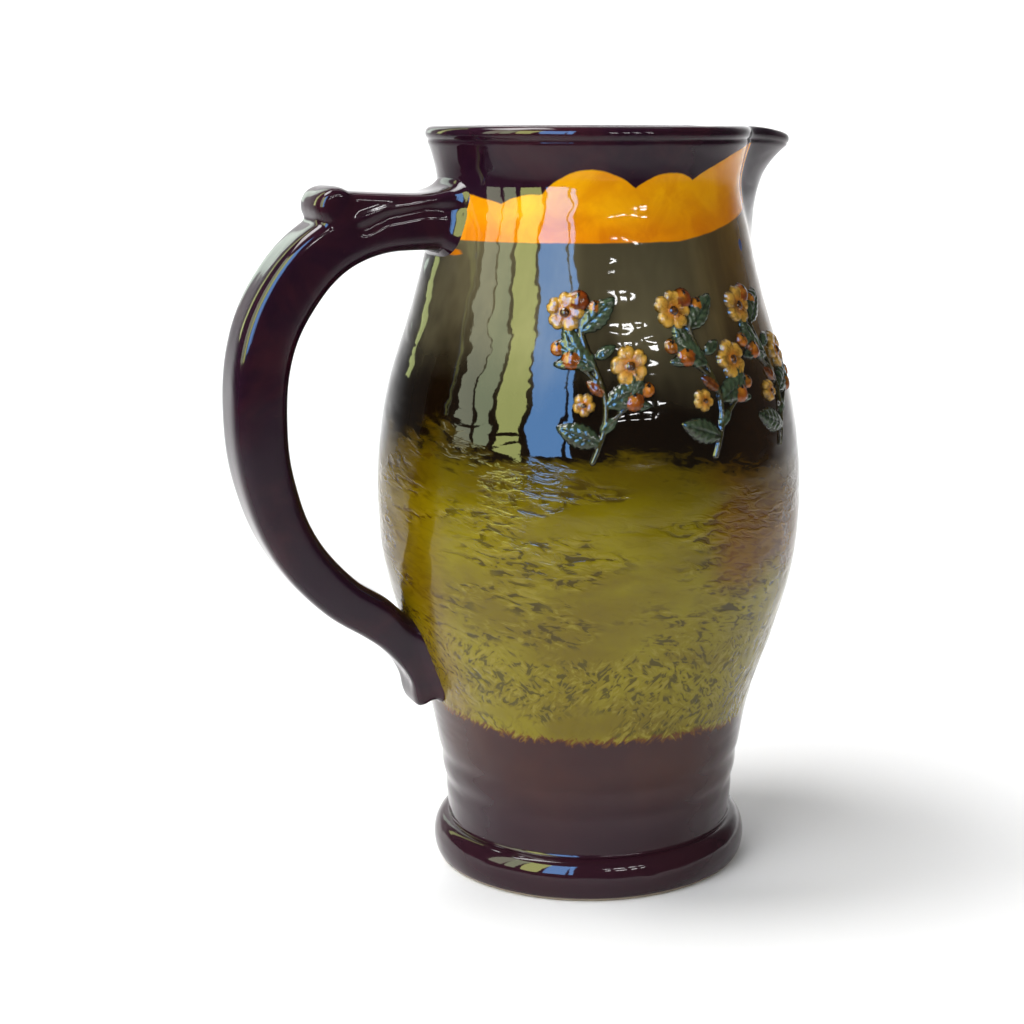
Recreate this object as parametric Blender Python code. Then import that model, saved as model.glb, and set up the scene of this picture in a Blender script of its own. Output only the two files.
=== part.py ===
"""Glazed pitcher: a turned, bellied body with a pulled spout, a scrolled strap handle and raised sprays.

The frame is metres, +Z up. The origin is on the body's axis at the underside, the spout
points along +X and the handle along -X, so the XZ plane halves the body and the handle.
An azimuth is counted from the spout, anticlockwise seen from above.
"""

import math

import bmesh
import bpy
from mathutils import Vector

# Body: heights from the underside, radii of the outer face
HEIGHT = 0.240
FOOT_RADIUS = 0.0525
FOOT_FLAT_RADIUS = 0.0500
FOOT_RING_HEIGHT = 0.0134
FOOT_WIDEST_HEIGHT = 0.0059
WAIST_RADIUS = 0.0476
BELLY_RADIUS = 0.0690
BELLY_HEIGHT = 0.1245
NECK_RADIUS = 0.0481
NECK_BELOW_RIM = 0.0170
RIM_RADIUS = 0.0516
RIM_ROLL = 0.0023
WALL = 0.0046
FLOOR = 0.0075
FLOOR_CORNER = 0.0100

# Shares of the way up and shares of the swelling, from the waist to the belly and on to the neck
LOWER_WALL = ((0.0, 0.0), (0.20, 0.110), (0.39, 0.292), (0.60, 0.659), (0.80, 0.930), (1.0, 1.0))
UPPER_WALL = ((0.0, 0.0), (0.32, 0.165), (0.62, 0.600), (0.84, 0.862), (1.0, 1.0))

# Two soft steps turned into the plain zone over the foot
STEP_HEIGHTS = (0.0265, 0.0355)
STEP_DEPTH = 0.0005
STEP_SPREAD = 0.0026

# Spout: reach of its lip from the axis, where it leaves the shoulder, and its width there and at the rim
SPOUT_REACH = 0.0715
SPOUT_LENGTH = 0.0560
SPOUT_HALF_ANGLE = math.radians(27.0)
SPOUT_ROOT_HALF_ANGLE = math.radians(20.0)
SPOUT_LEAN = 0.0014
SPOUT_FLARE = 4.8
SPOUT_DROOP = 0.0026
SPOUT_TIP_ROUNDING = 0.16
SPOUT_FLANK = 1.5
DROOP_ZONE = 0.0150

# Handle: reach of its outer face from the axis, its upper root down from the rim and its lower one
# down from the belly, its section halfway
HANDLE_REACH = 0.1184
HANDLE_TOP_BELOW_RIM = 0.0290
HANDLE_LOW_BELOW_BELLY = 0.0425
HANDLE_THICKNESS = 0.0168
HANDLE_WIDTH = 0.0240
HANDLE_SQUARENESS = 5.0
ROOT_FLARE = 0.0045
ROOT_FLARE_LENGTH = 0.0060
STRAP_DEPTH = 0.0023

# The handle's middle line from its top root down: shares of the reach beyond the wall, of the height
# between the roots, of the thickness and of the width
HANDLE_LINE = (
    (-0.120, 1.000, 0.98, 1.06), (0.145, 1.000, 0.98, 1.06), (0.360, 0.994, 1.00, 1.05),
    (0.552, 0.964, 1.03, 1.04), (0.702, 0.913, 1.05, 1.03), (0.829, 0.840, 1.06, 1.02),
    (0.920, 0.763, 1.04, 1.01), (0.974, 0.680, 1.02, 1.00), (0.996, 0.588, 1.00, 1.00),
    (0.989, 0.470, 0.98, 0.98), (0.941, 0.371, 0.96, 0.95), (0.861, 0.281, 0.92, 0.93),
    (0.726, 0.195, 0.89, 0.90), (0.509, 0.108, 0.86, 0.87), (0.272, 0.047, 0.84, 0.84),
)

# Tail: the low end of the handle, laid down the wall and scooped by a thumb
TAIL_TOP_BELOW_BELLY = 0.0430
TAIL_LENGTH = 0.0220
TAIL_PROUD = 0.0089
TAIL_WIDTH = 0.0182
TAIL_SCOOP = 0.0014

# Down the tail: shares of its height, of how proud its outer face stands, of its thickness and width
TAIL_LINE = (
    (1.00, 1.62, 1.10, 1.08), (0.68, 1.08, 1.00, 1.04), (0.36, 0.90, 0.90, 1.02),
    (0.12, 0.93, 0.94, 1.00), (0.00, 0.90, 0.92, 0.92),
)

# Thumb rest: a tongue along the top of the handle that ends in a rolled knob
TONGUE_THICKNESS = 0.0085
TONGUE_WIDTH = 0.0236
TONGUE_LIFT = 0.0008
KNOB_RADIUS = 0.0063
KNOB_DISTANCE = 0.0853
KNOB_ABOVE_HANDLE = 0.0052
KNOB_WIDTH = 0.0246
TONGUE_DEPTH = 0.0016

# Raised sprays on the upper wall, their foot and top measured down from the rim
SPRAY_AZIMUTHS = (248.0, 281.0, 308.0, 112.0, 79.0, 52.0)
SPRAY_LOW_BELOW_RIM = 0.0960
SPRAY_TOP_BELOW_RIM = 0.0500
SPRAY_SPREAD = 0.25
LEAF_LENGTH = 0.0140
LEAF_WIDTH = 0.0078
LEAF_RISE = 0.0017
BERRY_RADIUS = 0.0031
BERRY_RISE = 0.0021
BLOSSOM_RADIUS = 0.0060
BLOSSOM_RISE = 0.0016
STEM_WIDTH = 0.0024
STEM_RISE = 0.0010
SUNK = 0.0010

# Mesh fineness
AROUND = 50
SPOUT_DENSITY = 0.35
HANDLE_STEPS = 36
HANDLE_RING = 12

GLAZES = {
    # name: base colour, roughness
    "plum_glaze": ((0.045, 0.018, 0.030), 0.10),
    "amber_glaze": ((0.700, 0.290, 0.015), 0.12),
    "olive_glaze": ((0.060, 0.045, 0.012), 0.10),
    "moss_glaze": ((0.250, 0.190, 0.020), 0.18),
    "leaf_glaze": ((0.060, 0.110, 0.070), 0.15),
    "berry_glaze": ((0.420, 0.090, 0.015), 0.12),
    "blossom_glaze": ((0.700, 0.480, 0.150), 0.15),
}

# Where the coloured glazes meet: the lower two from the underside, the upper three from the rim
BASE_ZONE_TOP = 0.0530
MOSS_BELOW_RIM = 0.0980
OLIVE_BELOW_RIM = 0.0335
AMBER_BELOW_RIM = 0.0180

# Heights that follow from the sizes above
NECK_HEIGHT = HEIGHT - NECK_BELOW_RIM
SPOUT_ROOT_HEIGHT = HEIGHT - SPOUT_LENGTH
HANDLE_TOP_HEIGHT = HEIGHT - HANDLE_TOP_BELOW_RIM
HANDLE_LOW_HEIGHT = BELLY_HEIGHT - HANDLE_LOW_BELOW_BELLY
TAIL_TOP_HEIGHT = BELLY_HEIGHT - TAIL_TOP_BELOW_BELLY
TAIL_LOW_HEIGHT = TAIL_TOP_HEIGHT - TAIL_LENGTH
KNOB_HEIGHT = HANDLE_TOP_HEIGHT + KNOB_ABOVE_HANDLE
SPRAY_LOW = HEIGHT - SPRAY_LOW_BELOW_RIM
SPRAY_HIGH = HEIGHT - SPRAY_TOP_BELOW_RIM
LIP_HEIGHT = HEIGHT - 2 * RIM_ROLL
LIP_RADIUS = RIM_RADIUS - RIM_ROLL * 0.25


def clear_scene():
    for obj in list(bpy.data.objects):
        bpy.data.objects.remove(obj, do_unlink=True)


def glaze(name):
    colour, roughness = GLAZES[name]
    material = bpy.data.materials.new(name)
    material.use_nodes = True
    shader = material.node_tree.nodes["Principled BSDF"]
    shader.inputs["Base Color"].default_value = (*colour, 1.0)
    shader.inputs["Roughness"].default_value = roughness
    shader.inputs["Metallic"].default_value = 0.0
    return material


def curve_through(points, x):
    """The smooth curve through (x, y) points, level at its two ends."""
    slopes = [0.0]
    for before, after in zip(points, points[2:]):
        slopes.append((after[1] - before[1]) / (after[0] - before[0]))
    slopes.append(0.0)
    i = 0
    while i < len(points) - 2 and x > points[i + 1][0]:
        i += 1
    (x0, y0), (x1, y1) = points[i], points[i + 1]
    span = x1 - x0
    t = min(max((x - x0) / span, 0.0), 1.0)
    rise = y0 * (1 + 2 * t) * (1 - t) ** 2 + y1 * (3 - 2 * t) * t**2
    return rise + span * (slopes[i] * t * (1 - t) ** 2 - slopes[i + 1] * (1 - t) * t**2)


def wall_radius(height):
    """The outer wall's radius over the foot ring, without the spout."""
    if height < BELLY_HEIGHT:
        share = (height - FOOT_RING_HEIGHT) / (BELLY_HEIGHT - FOOT_RING_HEIGHT)
        radius = WAIST_RADIUS + (BELLY_RADIUS - WAIST_RADIUS) * curve_through(LOWER_WALL, share)
    elif height < NECK_HEIGHT:
        share = (height - BELLY_HEIGHT) / (NECK_HEIGHT - BELLY_HEIGHT)
        radius = BELLY_RADIUS - (BELLY_RADIUS - NECK_RADIUS) * curve_through(UPPER_WALL, share)
    else:
        share = min((height - NECK_HEIGHT) / (LIP_HEIGHT - NECK_HEIGHT), 1.0)
        radius = NECK_RADIUS + (LIP_RADIUS - NECK_RADIUS) * share**1.5
    for step in STEP_HEIGHTS:
        radius -= STEP_DEPTH * math.exp(-(((height - step) / STEP_SPREAD) ** 2))
    return radius


def spout_share(azimuth, height):
    """1 on the spout's keel, falling to 0 at the foot of its flanks."""
    rise = (min(height, LIP_HEIGHT) - SPOUT_ROOT_HEIGHT) / (LIP_HEIGHT - SPOUT_ROOT_HEIGHT)
    if rise <= 0.0:
        return 0.0
    half_angle = SPOUT_ROOT_HALF_ANGLE + (SPOUT_HALF_ANGLE - SPOUT_ROOT_HALF_ANGLE) * rise**0.7
    turn = abs(math.remainder(azimuth, math.tau)) / half_angle
    if turn >= 1.0:
        return 0.0
    rounding = SPOUT_TIP_ROUNDING
    turn = (math.hypot(turn, rounding) - rounding) / (math.hypot(1.0, rounding) - rounding)
    return (1.0 - turn) ** SPOUT_FLANK


def spout_pull(azimuth, height):
    """How far the spout stands out of the round wall."""
    share = spout_share(azimuth, height)
    if share == 0.0:
        return 0.0
    level = min(height, LIP_HEIGHT)
    rise = (level - SPOUT_ROOT_HEIGHT) / (LIP_HEIGHT - SPOUT_ROOT_HEIGHT)
    root_radius = wall_radius(SPOUT_ROOT_HEIGHT)
    overhang = SPOUT_REACH - (RIM_RADIUS - LIP_RADIUS) - root_radius
    keel = root_radius + SPOUT_LEAN * rise + (overhang - SPOUT_LEAN) * rise**SPOUT_FLARE
    return max(keel - wall_radius(level), 0.0) * share


def spout_droop(azimuth, height):
    near_rim = min(max((height - (HEIGHT - DROOP_ZONE)) / DROOP_ZONE, 0.0), 1.0)
    return SPOUT_DROOP * near_rim * spout_share(azimuth, height) ** 1.5


def outer_rows():
    """The outer face from the underside's edge to the lip, as (radius, height)."""
    rows = []
    edge = FOOT_RADIUS - FOOT_FLAT_RADIUS
    for i in range(4):
        turn = math.radians(30.0 * i)
        radius = FOOT_FLAT_RADIUS + edge * math.sin(turn)
        rows.append((radius, FOOT_WIDEST_HEIGHT * (1 - math.cos(turn))))
    shoulder = FOOT_RING_HEIGHT - FOOT_WIDEST_HEIGHT
    for i in range(1, 5):
        turn = math.radians(22.5 * i)
        radius = WAIST_RADIUS + (FOOT_RADIUS - WAIST_RADIUS) * math.cos(turn)
        rows.append((radius, FOOT_WIDEST_HEIGHT + shoulder * math.sin(turn)))
    heights = set()
    for step in STEP_HEIGHTS:
        heights.update((step - STEP_SPREAD * 1.4, step, step + STEP_SPREAD * 1.4))
    plain_from = max(heights) + 2 * STEP_SPREAD
    wall_rows = 13
    for i in range(wall_rows + 1):
        heights.add(plain_from + (NECK_HEIGHT - plain_from) * i / wall_rows)
    for share in (0.35, 0.7, 1.0):
        heights.add(NECK_HEIGHT + (LIP_HEIGHT - NECK_HEIGHT) * share)
    rows.extend((wall_radius(height), height) for height in sorted(heights))
    return rows


def rim_rows():
    """The rolled rim, from its groove outside over the top to the inside."""
    middle = RIM_RADIUS - RIM_ROLL
    rows = []
    for degrees in (-40, 0, 45, 90, 135, 180):
        turn = math.radians(degrees)
        radius = middle + RIM_ROLL * math.cos(turn)
        rows.append((radius, HEIGHT - RIM_ROLL + RIM_ROLL * math.sin(turn)))
    return rows


def inner_rows():
    """The inner face from under the rim down to the floor."""
    rows = []
    corner_top = FLOOR + FLOOR_CORNER
    heights = [NECK_HEIGHT + (LIP_HEIGHT - NECK_HEIGHT) * share for share in (1.0, 0.66, 0.33)]
    for top, bottom, steps in ((NECK_HEIGHT, SPOUT_ROOT_HEIGHT, 3), (SPOUT_ROOT_HEIGHT, corner_top, 5)):
        heights.extend(top + (bottom - top) * i / steps for i in range(steps))
    heights.append(corner_top)
    for height in heights:
        rows.append((wall_radius(height) - WALL, height))
    corner_radius = rows[-1][0] - FLOOR_CORNER
    for degrees in (30, 60, 90):
        turn = math.radians(degrees)
        radius = corner_radius + FLOOR_CORNER * math.cos(turn)
        rows.append((radius, corner_top - FLOOR_CORNER * math.sin(turn)))
    return rows


def body_material(height, outside):
    names = list(GLAZES)
    if not outside or height > HEIGHT - AMBER_BELOW_RIM or height < BASE_ZONE_TOP:
        return names.index("plum_glaze")
    if height > HEIGHT - OLIVE_BELOW_RIM:
        return names.index("amber_glaze")
    if height > HEIGHT - MOSS_BELOW_RIM:
        return names.index("olive_glaze")
    return names.index("moss_glaze")


def column_azimuth(i):
    """The columns of faces stand closer together at the spout."""
    turn = math.tau * i / AROUND
    return turn - SPOUT_DENSITY * math.sin(turn)


def body_mesh():
    """One closed shell: outer wall, rim, inner wall and floor, with the spout pulled out of it."""
    shell = bmesh.new()
    outside = outer_rows() + rim_rows()
    inside = inner_rows()
    rings = []
    for index, (radius, height) in enumerate(outside + inside):
        ring = []
        for i in range(AROUND):
            azimuth = column_azimuth(i)
            reach = radius + spout_pull(azimuth, height)
            z = height - spout_droop(azimuth, height)
            ring.append(shell.verts.new((reach * math.cos(azimuth), reach * math.sin(azimuth), z)))
        rings.append(ring)
    for index, (lower, upper) in enumerate(zip(rings, rings[1:])):
        middle = (lower[0].co.z + upper[0].co.z) / 2
        for i in range(AROUND):
            after = (i + 1) % AROUND
            face = shell.faces.new((lower[i], lower[after], upper[after], upper[i]))
            face.material_index = body_material(middle, index < len(outside))
    shell.faces.new(reversed(rings[0]))
    shell.faces.new(rings[-1])
    return shell


def handle_line(count):
    """The handle's middle line in the XZ plane, each point as (x, z, thickness, width)."""
    top_wall = wall_radius(HANDLE_TOP_HEIGHT)
    low_wall = wall_radius(HANDLE_LOW_HEIGHT)
    middle_reach = HANDLE_REACH - HANDLE_THICKNESS / 2
    knots = []
    for out, up, thick, wide in HANDLE_LINE:
        wall = low_wall + (top_wall - low_wall) * up
        height = HANDLE_LOW_HEIGHT + (HANDLE_TOP_HEIGHT - HANDLE_LOW_HEIGHT) * up
        x = -(wall + (middle_reach - wall) * out)
        knots.append(Vector((x, height, HANDLE_THICKNESS * thick, HANDLE_WIDTH * wide)))
    for up, proud, thick, wide in TAIL_LINE:
        height = TAIL_LOW_HEIGHT + (TAIL_TOP_HEIGHT - TAIL_LOW_HEIGHT) * up
        x = -(wall_radius(height) + (TAIL_PROUD * proud - STRAP_DEPTH) / 2)
        knots.append(Vector((x, height, (TAIL_PROUD + STRAP_DEPTH) * thick, TAIL_WIDTH * wide)))
    return smooth_line(knots, count)


def smooth_line(knots, count):
    """Evenly numbered points of the smooth line through the knots."""
    padded = [2 * knots[0] - knots[1], *knots, 2 * knots[-1] - knots[-2]]
    line = []
    spans = len(knots) - 1
    for i in range(count + 1):
        place = spans * i / count
        span = min(int(place), spans - 1)
        t = place - span
        a, b, c, d = padded[span : span + 4]
        point = 2 * b + (c - a) * t + (2 * a - 5 * b + 4 * c - d) * t**2
        point += (3 * b - a - 3 * c + d) * t**3
        line.append(point / 2)
    return line


def out_of_cavity(point, depth):
    """The point, moved out along its radius where it would lie deeper than that in the wall."""
    least = wall_radius(point.z) - depth
    radius = math.hypot(point.x, point.y)
    if radius < least:
        point.x *= least / radius
        point.y *= least / radius
    return point


def sweep(form, line, depth):
    """A soft-cornered strap along a line of (x, z, thickness, width), sunk that deep in the wall."""
    rings = []
    last = len(line) - 1
    root = line[0]
    for i, (x, z, thickness, width) in enumerate(line):
        run = line[min(i + 1, last)] - line[max(i - 1, 0)]
        outward = Vector((run.y, -run.x)).normalized()
        flare = ROOT_FLARE * math.exp(-(((x - root.x) / ROOT_FLARE_LENGTH) ** 2)) if z > BELLY_HEIGHT else 0.0
        scoop = tail_scoop(z)
        ring = []
        for k in range(HANDLE_RING):
            turn = math.tau * (k + 0.5) / HANDLE_RING
            across = soft_square(math.sin(turn))
            out = soft_square(math.cos(turn)) * (thickness + flare) / 2
            if out > 0:
                out -= scoop * (1 - across**2)
            point = Vector((x + outward.x * out, across * (width + flare) / 2, z + outward.y * out))
            ring.append(form.verts.new(out_of_cavity(point, depth)))
        rings.append(ring)
    for near, far in zip(rings, rings[1:]):
        for k in range(HANDLE_RING):
            after = (k + 1) % HANDLE_RING
            form.faces.new((near[k], near[after], far[after], far[k]))
    form.faces.new(rings[0])
    form.faces.new(rings[-1])


def tail_scoop(height):
    """How far a thumb has hollowed the middle of the tail's outer face."""
    share = (height - TAIL_LOW_HEIGHT) / (TAIL_TOP_HEIGHT - TAIL_LOW_HEIGHT)
    return TAIL_SCOOP * math.sin(math.pi * share) ** 2 if 0.0 < share < 1.0 else 0.0


def soft_square(value):
    return math.copysign(abs(value) ** (2 / HANDLE_SQUARENESS), value)


def handle_mesh():
    form = bmesh.new()
    sweep(form, handle_line(HANDLE_STEPS), STRAP_DEPTH)
    return form


def tongue_mesh():
    """The tongue over the top of the handle, from inside the wall to the knob."""
    form = bmesh.new()
    root = -(wall_radius(HANDLE_TOP_HEIGHT) - WALL)
    handle_top = HANDLE_TOP_HEIGHT + HANDLE_THICKNESS * HANDLE_LINE[0][2] / 2
    root_height = handle_top + TONGUE_LIFT - TONGUE_THICKNESS / 2
    steps = 7
    line = []
    for i in range(steps + 1):
        share = i / steps
        x = root + (-KNOB_DISTANCE - root) * share
        height = root_height + (KNOB_HEIGHT - root_height) * share**2
        line.append(Vector((x, height, TONGUE_THICKNESS * (1 + 0.25 * share**2), TONGUE_WIDTH)))
    sweep(form, line, TONGUE_DEPTH)
    return form


def knob_mesh():
    """A short roll across the end of the tongue, rounded at both sides."""
    form = bmesh.new()
    rings = []
    around = 12
    for degrees in (-68, -40, 0, 40, 68):
        turn = math.radians(degrees)
        half = KNOB_WIDTH / 2
        y = half * math.copysign(abs(math.sin(turn)) ** 0.75, turn)
        radius = KNOB_RADIUS * math.cos(turn) ** 0.45
        ring = []
        for i in range(around):
            angle = math.tau * i / around
            x = -KNOB_DISTANCE + radius * math.cos(angle)
            ring.append(form.verts.new((x, y, KNOB_HEIGHT + radius * math.sin(angle))))
        rings.append(ring)
    for near, far in zip(rings, rings[1:]):
        for i in range(around):
            after = (i + 1) % around
            form.faces.new((near[i], near[after], far[after], far[i]))
    form.faces.new(rings[0])
    form.faces.new(rings[-1])
    return form


class Spray:
    """Raised forms laid on the wall round a place, in metres across and up the wall."""

    def __init__(self, azimuth, height, mirror):
        self.form = bmesh.new()
        self.azimuth = azimuth
        self.height = height
        self.mirror = mirror

    def at(self, across, up, lift):
        height = self.height + up
        radius = wall_radius(height) + lift
        azimuth = self.azimuth + self.mirror * across / radius
        return self.form.verts.new((radius * math.cos(azimuth), radius * math.sin(azimuth), height))

    def hull(self, verts, glaze_name):
        made = bmesh.ops.convex_hull(self.form, input=verts)
        for element in made["geom"]:
            if isinstance(element, bmesh.types.BMFace):
                element.material_index = list(GLAZES).index(glaze_name)

    def leaf(self, across, up, heading, length):
        width = length * LEAF_WIDTH / LEAF_LENGTH
        ahead = Vector((math.sin(heading), math.cos(heading)))
        aside = Vector((ahead.y, -ahead.x))
        verts = []
        edge = ((0.0, 0.0), (0.3, 0.5), (0.68, 0.42), (1.0, 0.0), (0.68, -0.42), (0.3, -0.5))
        back = ((0.2, 0.0), (0.42, 0.3), (0.8, 0.0), (0.42, -0.3))
        for points, lift in ((edge, -SUNK), (back, LEAF_RISE)):
            for along, wide in points:
                spot = ahead * along * length + aside * wide * width
                verts.append(self.at(across + spot.x, up + spot.y, lift))
        self.hull(verts, "leaf_glaze")

    def berry(self, across, up):
        verts = [self.at(across, up, BERRY_RISE)]
        sides = 6
        for size, lift in ((1.0, -SUNK), (0.84, 0.55 * BERRY_RISE)):
            for i in range(sides):
                turn = math.tau * i / sides
                spot = Vector((math.cos(turn), math.sin(turn))) * BERRY_RADIUS * size
                verts.append(self.at(across + spot.x, up + spot.y, lift))
        self.hull(verts, "berry_glaze")

    def blossom(self, across, up):
        """Five petals round a low middle."""
        rim = []
        crests = []
        for i in range(10):
            turn = math.tau * i / 10
            aside = Vector((math.sin(turn), math.cos(turn)))
            radius = BLOSSOM_RADIUS * (1.0 if i % 2 == 0 else 0.72)
            rim.append(self.at(across + aside.x * radius, up + aside.y * radius, -SUNK))
            if i % 2 == 0:
                crest = aside * BLOSSOM_RADIUS * 0.55
                crests.append(self.at(across + crest.x, up + crest.y, BLOSSOM_RISE))
        middle = self.at(across, up, 0.4 * BLOSSOM_RISE)
        faces = [self.form.faces.new(rim)]
        for i, crest in enumerate(crests):
            before, tip, after = rim[2 * i - 1], rim[2 * i], rim[2 * i + 1]
            following = crests[(i + 1) % 5]
            faces.append(self.form.faces.new((before, tip, crest)))
            faces.append(self.form.faces.new((tip, after, crest)))
            faces.append(self.form.faces.new((crest, after, following)))
            faces.append(self.form.faces.new((crest, following, middle)))
        for face in faces:
            face.material_index = list(GLAZES).index("blossom_glaze")

    def stem(self, points):
        """A low ridge through (across, up) points."""
        sections = []
        for i, (across, up) in enumerate(points):
            before = points[max(i - 1, 0)]
            after = points[min(i + 1, len(points) - 1)]
            run = Vector((after[0] - before[0], after[1] - before[1])).normalized()
            half = STEM_WIDTH / 2
            sections.append((
                self.at(across - run.y * half, up + run.x * half, -SUNK),
                self.at(across, up, STEM_RISE),
                self.at(across + run.y * half, up - run.x * half, -SUNK),
            ))
        faces = [self.form.faces.new(sections[0]), self.form.faces.new(sections[-1])]
        for near, far in zip(sections, sections[1:]):
            for k in range(3):
                after = (k + 1) % 3
                faces.append(self.form.faces.new((near[k], near[after], far[after], far[k])))
        for face in faces:
            face.material_index = list(GLAZES).index("leaf_glaze")


def spray_mesh(azimuth, mirror):
    """A briar spray: a bent stem with two twigs, leaves by turns, hips at the ends and blossoms."""
    spray = Spray(azimuth, SPRAY_LOW, mirror)
    tall = SPRAY_HIGH - SPRAY_LOW
    spread = tall * SPRAY_SPREAD

    def spine(share):
        return spread * 0.35 * math.sin(share * math.tau * 0.8), tall * share

    spray.stem([spine(i / 4) for i in range(5)])
    for share, side in ((0.22, 1), (0.48, -1)):
        across, up = spine(share)
        tip = (across + side * spread * 0.75, up + tall * 0.16)
        spray.stem([(across, up), tip])
        spray.berry(*tip)
        spray.leaf(tip[0] - side * 0.2 * spread, tip[1], math.radians(side * 25), LEAF_LENGTH * 0.8)
    for i in range(4):
        share = 0.12 + 0.23 * i
        across, up = spine(share)
        side = 1 if i % 2 else -1
        spray.leaf(across, up, math.radians(side * (70 - 8 * i)), LEAF_LENGTH)
    spray.berry(*spine(1.0))
    spray.blossom(spine(0.36)[0] + spread * 0.62, tall * 0.60)
    spray.blossom(spine(0.7)[0] - spread * 0.55, tall * 0.93)
    return spray.form


def add_object(name, form):
    bmesh.ops.recalc_face_normals(form, faces=form.faces[:])
    mesh = bpy.data.meshes.new(name)
    form.to_mesh(mesh)
    form.free()
    for material in MATERIALS:
        mesh.materials.append(material)
    obj = bpy.data.objects.new(name, mesh)
    bpy.context.scene.collection.objects.link(obj)
    return obj


def join_to(jug, name, form, overlapping=False):
    """Joins a form to the jug with a Boolean. The form itself stays as a hidden guide."""
    guide = add_object(name, form)
    guide.hide_render = True
    guide.display_type = "WIRE"
    union = jug.modifiers.new(name, "BOOLEAN")
    union.operation = "UNION"
    union.solver = "EXACT"
    union.use_self = overlapping
    union.material_mode = "TRANSFER"
    union.object = guide


def main():
    clear_scene()
    MATERIALS.extend(glaze(name) for name in GLAZES)
    jug = add_object("jug", body_mesh())
    join_to(jug, "handle_strap", handle_mesh())
    join_to(jug, "handle_tongue", tongue_mesh())
    join_to(jug, "handle_knob", knob_mesh())
    for i, degrees in enumerate(SPRAY_AZIMUTHS):
        mirror = 1 if degrees > 180 else -1
        join_to(jug, f"spray_{i + 1}", spray_mesh(math.radians(degrees), mirror), overlapping=True)
    jug.data.shade_smooth()
    jug.data.set_sharp_from_angle(angle=math.radians(35))


MATERIALS = []
main()
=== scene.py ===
"""Glazed pitcher: the visual model, its glazes, floor, lights and camera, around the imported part.

Metres, +Z up. The spout points along +X and the handle along -X. An azimuth is counted from
the spout, anticlockwise seen from above. The forms repeat the sizes of the part's source.
"""

import math

import bmesh
import bpy
import numpy as np
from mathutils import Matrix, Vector


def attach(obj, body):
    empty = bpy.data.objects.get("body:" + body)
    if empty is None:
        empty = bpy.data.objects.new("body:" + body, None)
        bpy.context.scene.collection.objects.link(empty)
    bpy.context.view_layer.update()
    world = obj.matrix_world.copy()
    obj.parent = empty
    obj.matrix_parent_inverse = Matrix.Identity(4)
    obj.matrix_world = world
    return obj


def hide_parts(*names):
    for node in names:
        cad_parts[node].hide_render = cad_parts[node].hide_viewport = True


# Body
HEIGHT = 0.240
FOOT_RADIUS = 0.0525
FOOT_FLAT_RADIUS = 0.0500
FOOT_RING_HEIGHT = 0.0134
FOOT_WIDEST_HEIGHT = 0.0059
WAIST_RADIUS = 0.0476
BELLY_RADIUS = 0.0690
BELLY_HEIGHT = 0.1245
NECK_RADIUS = 0.0481
NECK_HEIGHT = 0.2230
RIM_RADIUS = 0.0516
RIM_ROLL = 0.0023
WALL = 0.0046
FLOOR = 0.0075
FLOOR_CORNER = 0.0100
LOWER_WALL = ((0.0, 0.0), (0.20, 0.110), (0.39, 0.292), (0.60, 0.659), (0.80, 0.930), (1.0, 1.0))
UPPER_WALL = ((0.0, 0.0), (0.32, 0.165), (0.62, 0.600), (0.84, 0.862), (1.0, 1.0))
STEP_HEIGHTS = (0.0265, 0.0355)
STEP_DEPTH = 0.0005
STEP_SPREAD = 0.0026
LIP_HEIGHT = HEIGHT - 2 * RIM_ROLL
LIP_RADIUS = RIM_RADIUS - RIM_ROLL * 0.25

# Spout
SPOUT_REACH = 0.0715
SPOUT_ROOT_HEIGHT = 0.1840
SPOUT_HALF_ANGLE = math.radians(27.0)
SPOUT_ROOT_HALF_ANGLE = math.radians(20.0)
SPOUT_LEAN = 0.0014
SPOUT_FLARE = 4.8
SPOUT_DROOP = 0.0026
SPOUT_TIP_ROUNDING = 0.16
SPOUT_FLANK = 1.5
DROOP_ZONE = 0.0150

# Handle
HANDLE_REACH = 0.1184
HANDLE_TOP_HEIGHT = 0.2110
HANDLE_LOW_HEIGHT = 0.0820
HANDLE_THICKNESS = 0.0168
HANDLE_WIDTH = 0.0240
HANDLE_SQUARENESS = 5.0
ROOT_FLARE = 0.0045
ROOT_FLARE_LENGTH = 0.0060
STRAP_DEPTH = 0.0023
HANDLE_LINE = (
    (-0.120, 1.000, 0.98, 1.06), (0.145, 1.000, 0.98, 1.06), (0.360, 0.994, 1.00, 1.05),
    (0.552, 0.964, 1.03, 1.04), (0.702, 0.913, 1.05, 1.03), (0.829, 0.840, 1.06, 1.02),
    (0.920, 0.763, 1.04, 1.01), (0.974, 0.680, 1.02, 1.00), (0.996, 0.588, 1.00, 1.00),
    (0.989, 0.470, 0.98, 0.98), (0.941, 0.371, 0.96, 0.95), (0.861, 0.281, 0.92, 0.93),
    (0.726, 0.195, 0.89, 0.90), (0.509, 0.108, 0.86, 0.87), (0.272, 0.047, 0.84, 0.84),
)
TAIL_TOP_HEIGHT = 0.0815
TAIL_LOW_HEIGHT = 0.0595
TAIL_PROUD = 0.0089
TAIL_WIDTH = 0.0182
TAIL_SCOOP = 0.0014
TAIL_LINE = (
    (1.00, 1.62, 1.10, 1.08), (0.68, 1.08, 1.00, 1.04), (0.36, 0.90, 0.90, 1.02),
    (0.12, 0.93, 0.94, 1.00), (0.00, 0.90, 0.92, 0.92),
)
TONGUE_THICKNESS = 0.0085
TONGUE_WIDTH = 0.0236
TONGUE_LIFT = 0.0008
TONGUE_DEPTH = 0.0016
KNOB_RADIUS = 0.0063
KNOB_DISTANCE = 0.0853
KNOB_HEIGHT = 0.2162
KNOB_WIDTH = 0.0246
KNOB_GLAZE = 0.0002
KNOB_AROUND = 40
STRAP_STEPS = 170
STRAP_AROUND = 64
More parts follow.
